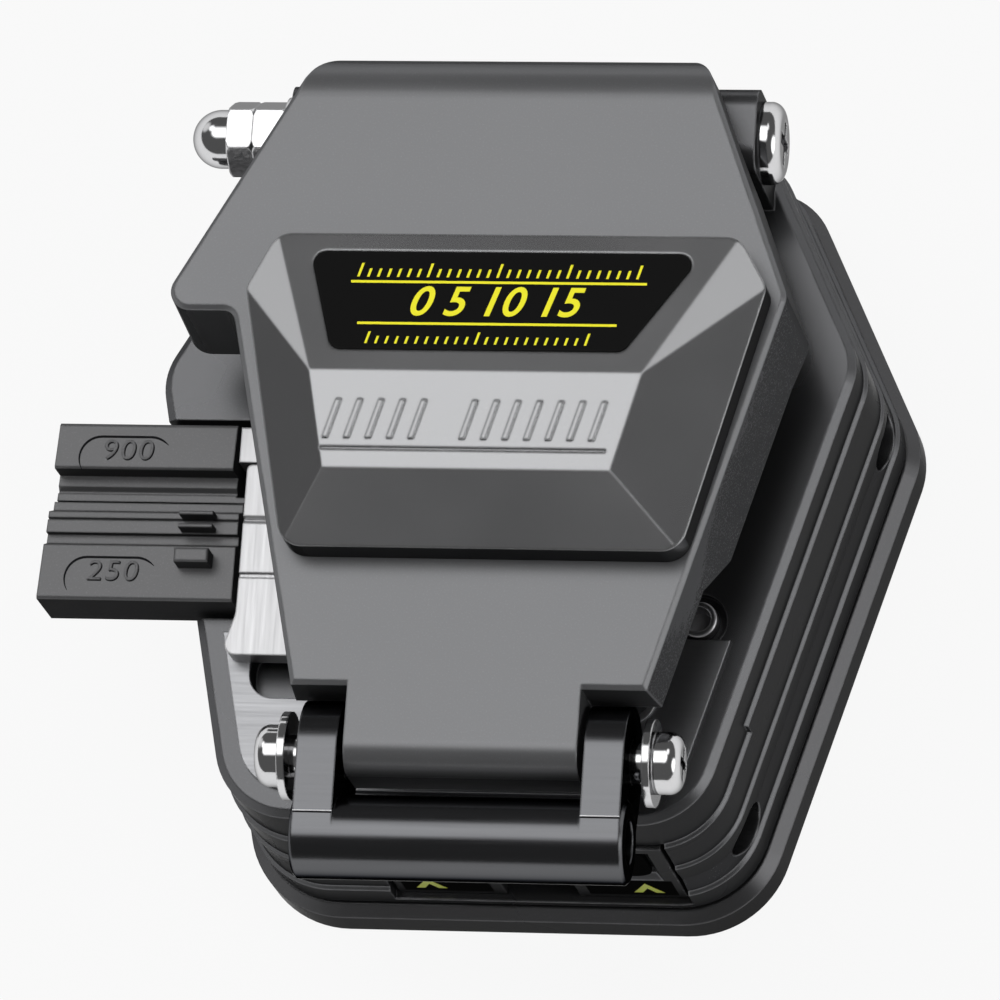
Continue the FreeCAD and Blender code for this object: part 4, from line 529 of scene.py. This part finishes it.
# ---------------------------------------------------------------- painted highlight and shade at the lever joints
ARM_TOP_Y = -46.5              # a point of the arms' sloping top, and how it rises with Y
ARM_TOP_Z = 57.297
ARM_TOP_RISE = 0.0358
ARM_SIDES = [(-16.25, -12.35), (12.35, 16.25)]
LEVER_JOINT_Y = -53.2
# Widths and heights of the painted highlight line and of the painted shade strip in front of it.
JOINT_LINE_HALF = 0.06
JOINT_LINE_HEIGHT = 0.02
JOINT_GAP_SHADE_FRONT = 0.24
JOINT_GAP_SHADE_HEIGHT = 0.008


def on_arm(x, y, height):
    return Vector((x, y, ARM_TOP_Z + (y - ARM_TOP_Y) * ARM_TOP_RISE + height)) * MM


def make_lever_joint_light_and_shade():
    """Painted highlight: a fine bright line where each arm of the lever meets its bar, with a strip of
    painted shade for the gap in front of it.
    """
    line_front = LEVER_JOINT_Y - JOINT_LINE_HALF
    bright = []
    dark = []
    for x0, x1 in ARM_SIDES:
        line = bar(x0, x1, line_front, LEVER_JOINT_Y + JOINT_LINE_HALF)
        gap = bar(x0, x1, LEVER_JOINT_Y - JOINT_GAP_SHADE_FRONT, line_front)
        bright += raised(line, on_arm, JOINT_LINE_HEIGHT)
        dark += raised(gap, on_arm, JOINT_GAP_SHADE_HEIGHT)
    # Painted highlight in bright steel, painted shade in near-black.
    mesh_piece("lever_joint_painted_highlight", bright, STEEL, "lever")
    mesh_piece("lever_joint_painted_shade", dark, PAINTED_SHADE, "lever")


make_label_graphics()
make_adapter_marks()
make_push_arrows()
make_push_film()
make_lever_joint_light_and_shade()


# ---------------------------------------------------------------------- studio
# Lengths of the studio are in metres, and those of the lens and its sensor in millimetres.
FLOOR_HALF = 3.0
FLOOR_GREY = 0.36
FLOOR_GLOW = 0.92           # share of plain white in the floor that the camera and reflections see
BACKDROP_RADIUS = 2.7
BACKDROP_HEIGHT = 0.55
BACKDROP_SIDES = 64
COVE_RADIUS = 0.3
COVE_STEPS = 8
DOME_LEVEL = 0.10
# Soft boxes of the studio: where each hangs, its inner and outer half angle and its brightness.
SOFT_BOXES = [
    ((-0.20, 0.16, 0.965), 13.0, 25.0, 2.0),
    ((-0.52, 0.42, 0.74), 5.0, 14.0, 1.5),
    ((0.20, 0.47, 0.86), 5.0, 13.0, 1.5),
    ((0.93, -0.18, 0.33), 8.0, 24.0, 2.6),
    ((-0.85, 0.55, 0.42), 6.0, 20.0, 0.7),
]
LAMP_PLACE = Vector((-0.15, 0.10, 1.30))
LAMP_AIM = Vector((0.0, 0.0, 0.03))
LAMP_SIZE = 0.7
LAMP_POWER = 7.5
SENSOR_WIDTH = 36.0
LENS = 363.6
CAMERA_PLACE = (0.190092, -0.308356, 0.989808)
CAMERA_TURN = (17.55128, 10.16116, 4.04792)       # degrees about X, then Y, then Z


def make_floor_material():
    """Matt grey for the light that it throws back, and nearly white to the camera and in reflections."""
    material, tree, shader = start_material("pale_floor")
    feed_all(tree, shader, Base_Color=(FLOOR_GREY, FLOOR_GREY, FLOOR_GREY, 1), Roughness=0.9,
             Specular_IOR_Level=0.0)
    rays = add(tree, "ShaderNodeLightPath").outputs
    seen = math_node(tree, "MAXIMUM", rays["Is Camera Ray"], rays["Is Glossy Ray"])
    seen = math_node(tree, "MAXIMUM", seen, rays["Is Transmission Ray"])
    glow = add(tree, "ShaderNodeEmission")
    feed_all(tree, glow, Color=WHITE)
    blend = add(tree, "ShaderNodeMixShader")
    for target, value in zip(blend.inputs, (math_node(tree, "MULTIPLY", seen, FLOOR_GLOW),
                                            shader.outputs[0], glow.outputs[0])):
        feed(tree, target, value)
    feed_all(tree, tree.nodes["Material Output"], Surface=blend.outputs[0])
    return material


def stage_piece(name, points, faces, material):
    mesh = bpy.data.meshes.new(name)
    mesh.from_pydata(points, [], faces)
    link_object(name, mesh, material)


def make_floor(material):
    corners = [(-1, -1), (1, -1), (1, 1), (-1, 1)]
    stage_piece("studio_floor", [(x * FLOOR_HALF, y * FLOOR_HALF, 0) for x, y in corners], [(0, 1, 2, 3)],
                material)


def make_backdrop(material):
    """Low wall round the floor, joined to it by a cove."""
    profile = []
    for i in range(COVE_STEPS + 1):
        angle = math.pi / 2 * i / COVE_STEPS
        radius = BACKDROP_RADIUS - COVE_RADIUS * (1 - math.sin(angle))
        profile.append((radius, COVE_RADIUS * (1 - math.cos(angle))))
    profile.append((BACKDROP_RADIUS, BACKDROP_HEIGHT))
    points = []
    faces = []
    for i in range(BACKDROP_SIDES):
        turn = 2 * math.pi * i / BACKDROP_SIDES
        points += [(radius * math.cos(turn), radius * math.sin(turn), z) for radius, z in profile]
        here = i * len(profile)
        beside = (i + 1) % BACKDROP_SIDES * len(profile)
        faces += [(here + k, beside + k, beside + k + 1, here + k + 1) for k in range(len(profile) - 1)]
    stage_piece("studio_backdrop", points, faces, material)


def soft_box(tree, direction, aim, inner, outer):
    """Mask of a round soft box on the studio dome, one at its middle and nought past its edge."""
    towards = dot_product(tree, direction, Vector(aim).normalized())
    return ramp(tree, towards, math.cos(math.radians(outer)), math.cos(math.radians(inner)), "SMOOTHSTEP")


def make_world():
    """Dim even dome with the soft boxes on it."""
    world = bpy.data.worlds.new("studio_world")
    bpy.context.scene.world = world
    world.use_nodes = True
    tree = world.node_tree
    tree.nodes.clear()
    direction = add(tree, "ShaderNodeTexCoord").outputs["Generated"]
    level = DOME_LEVEL
    for aim, inner, outer, strength in SOFT_BOXES:
        box_light = math_node(tree, "MULTIPLY", soft_box(tree, direction, aim, inner, outer), strength)
        level = math_node(tree, "ADD", box_light, level)
    background = add(tree, "ShaderNodeBackground")
    feed_all(tree, background, Color=WHITE, Strength=level)
    feed_all(tree, add(tree, "ShaderNodeOutputWorld"), Surface=background.outputs[0])


def make_lamp():
    """Square lamp over the table, which lights surfaces but isn't seen in reflections."""
    lamp = bpy.data.lights.new("overhead_lamp", "AREA")
    lamp.energy = LAMP_POWER
    lamp.size = LAMP_SIZE
    holder = bpy.data.objects.new("overhead_lamp", lamp)
    holder.location = LAMP_PLACE
    holder.rotation_euler = (LAMP_AIM - LAMP_PLACE).to_track_quat("-Z", "Y").to_euler()
    holder.visible_glossy = False
    bpy.context.scene.collection.objects.link(holder)


def make_camera():
    camera = bpy.data.cameras.new("main_camera")
    camera.sensor_width = SENSOR_WIDTH
    camera.lens = LENS
    camera.clip_end = 20.0
    holder = bpy.data.objects.new("main_camera", camera)
    holder.location = CAMERA_PLACE
    holder.rotation_euler = [math.radians(angle) for angle in CAMERA_TURN]
    bpy.context.scene.collection.objects.link(holder)
    bpy.context.scene.camera = holder


floor_material = make_floor_material()
make_floor(floor_material)
make_backdrop(floor_material)
make_world()
make_lamp()
make_camera()
bpy.context.scene.view_settings.view_transform = "Standard"
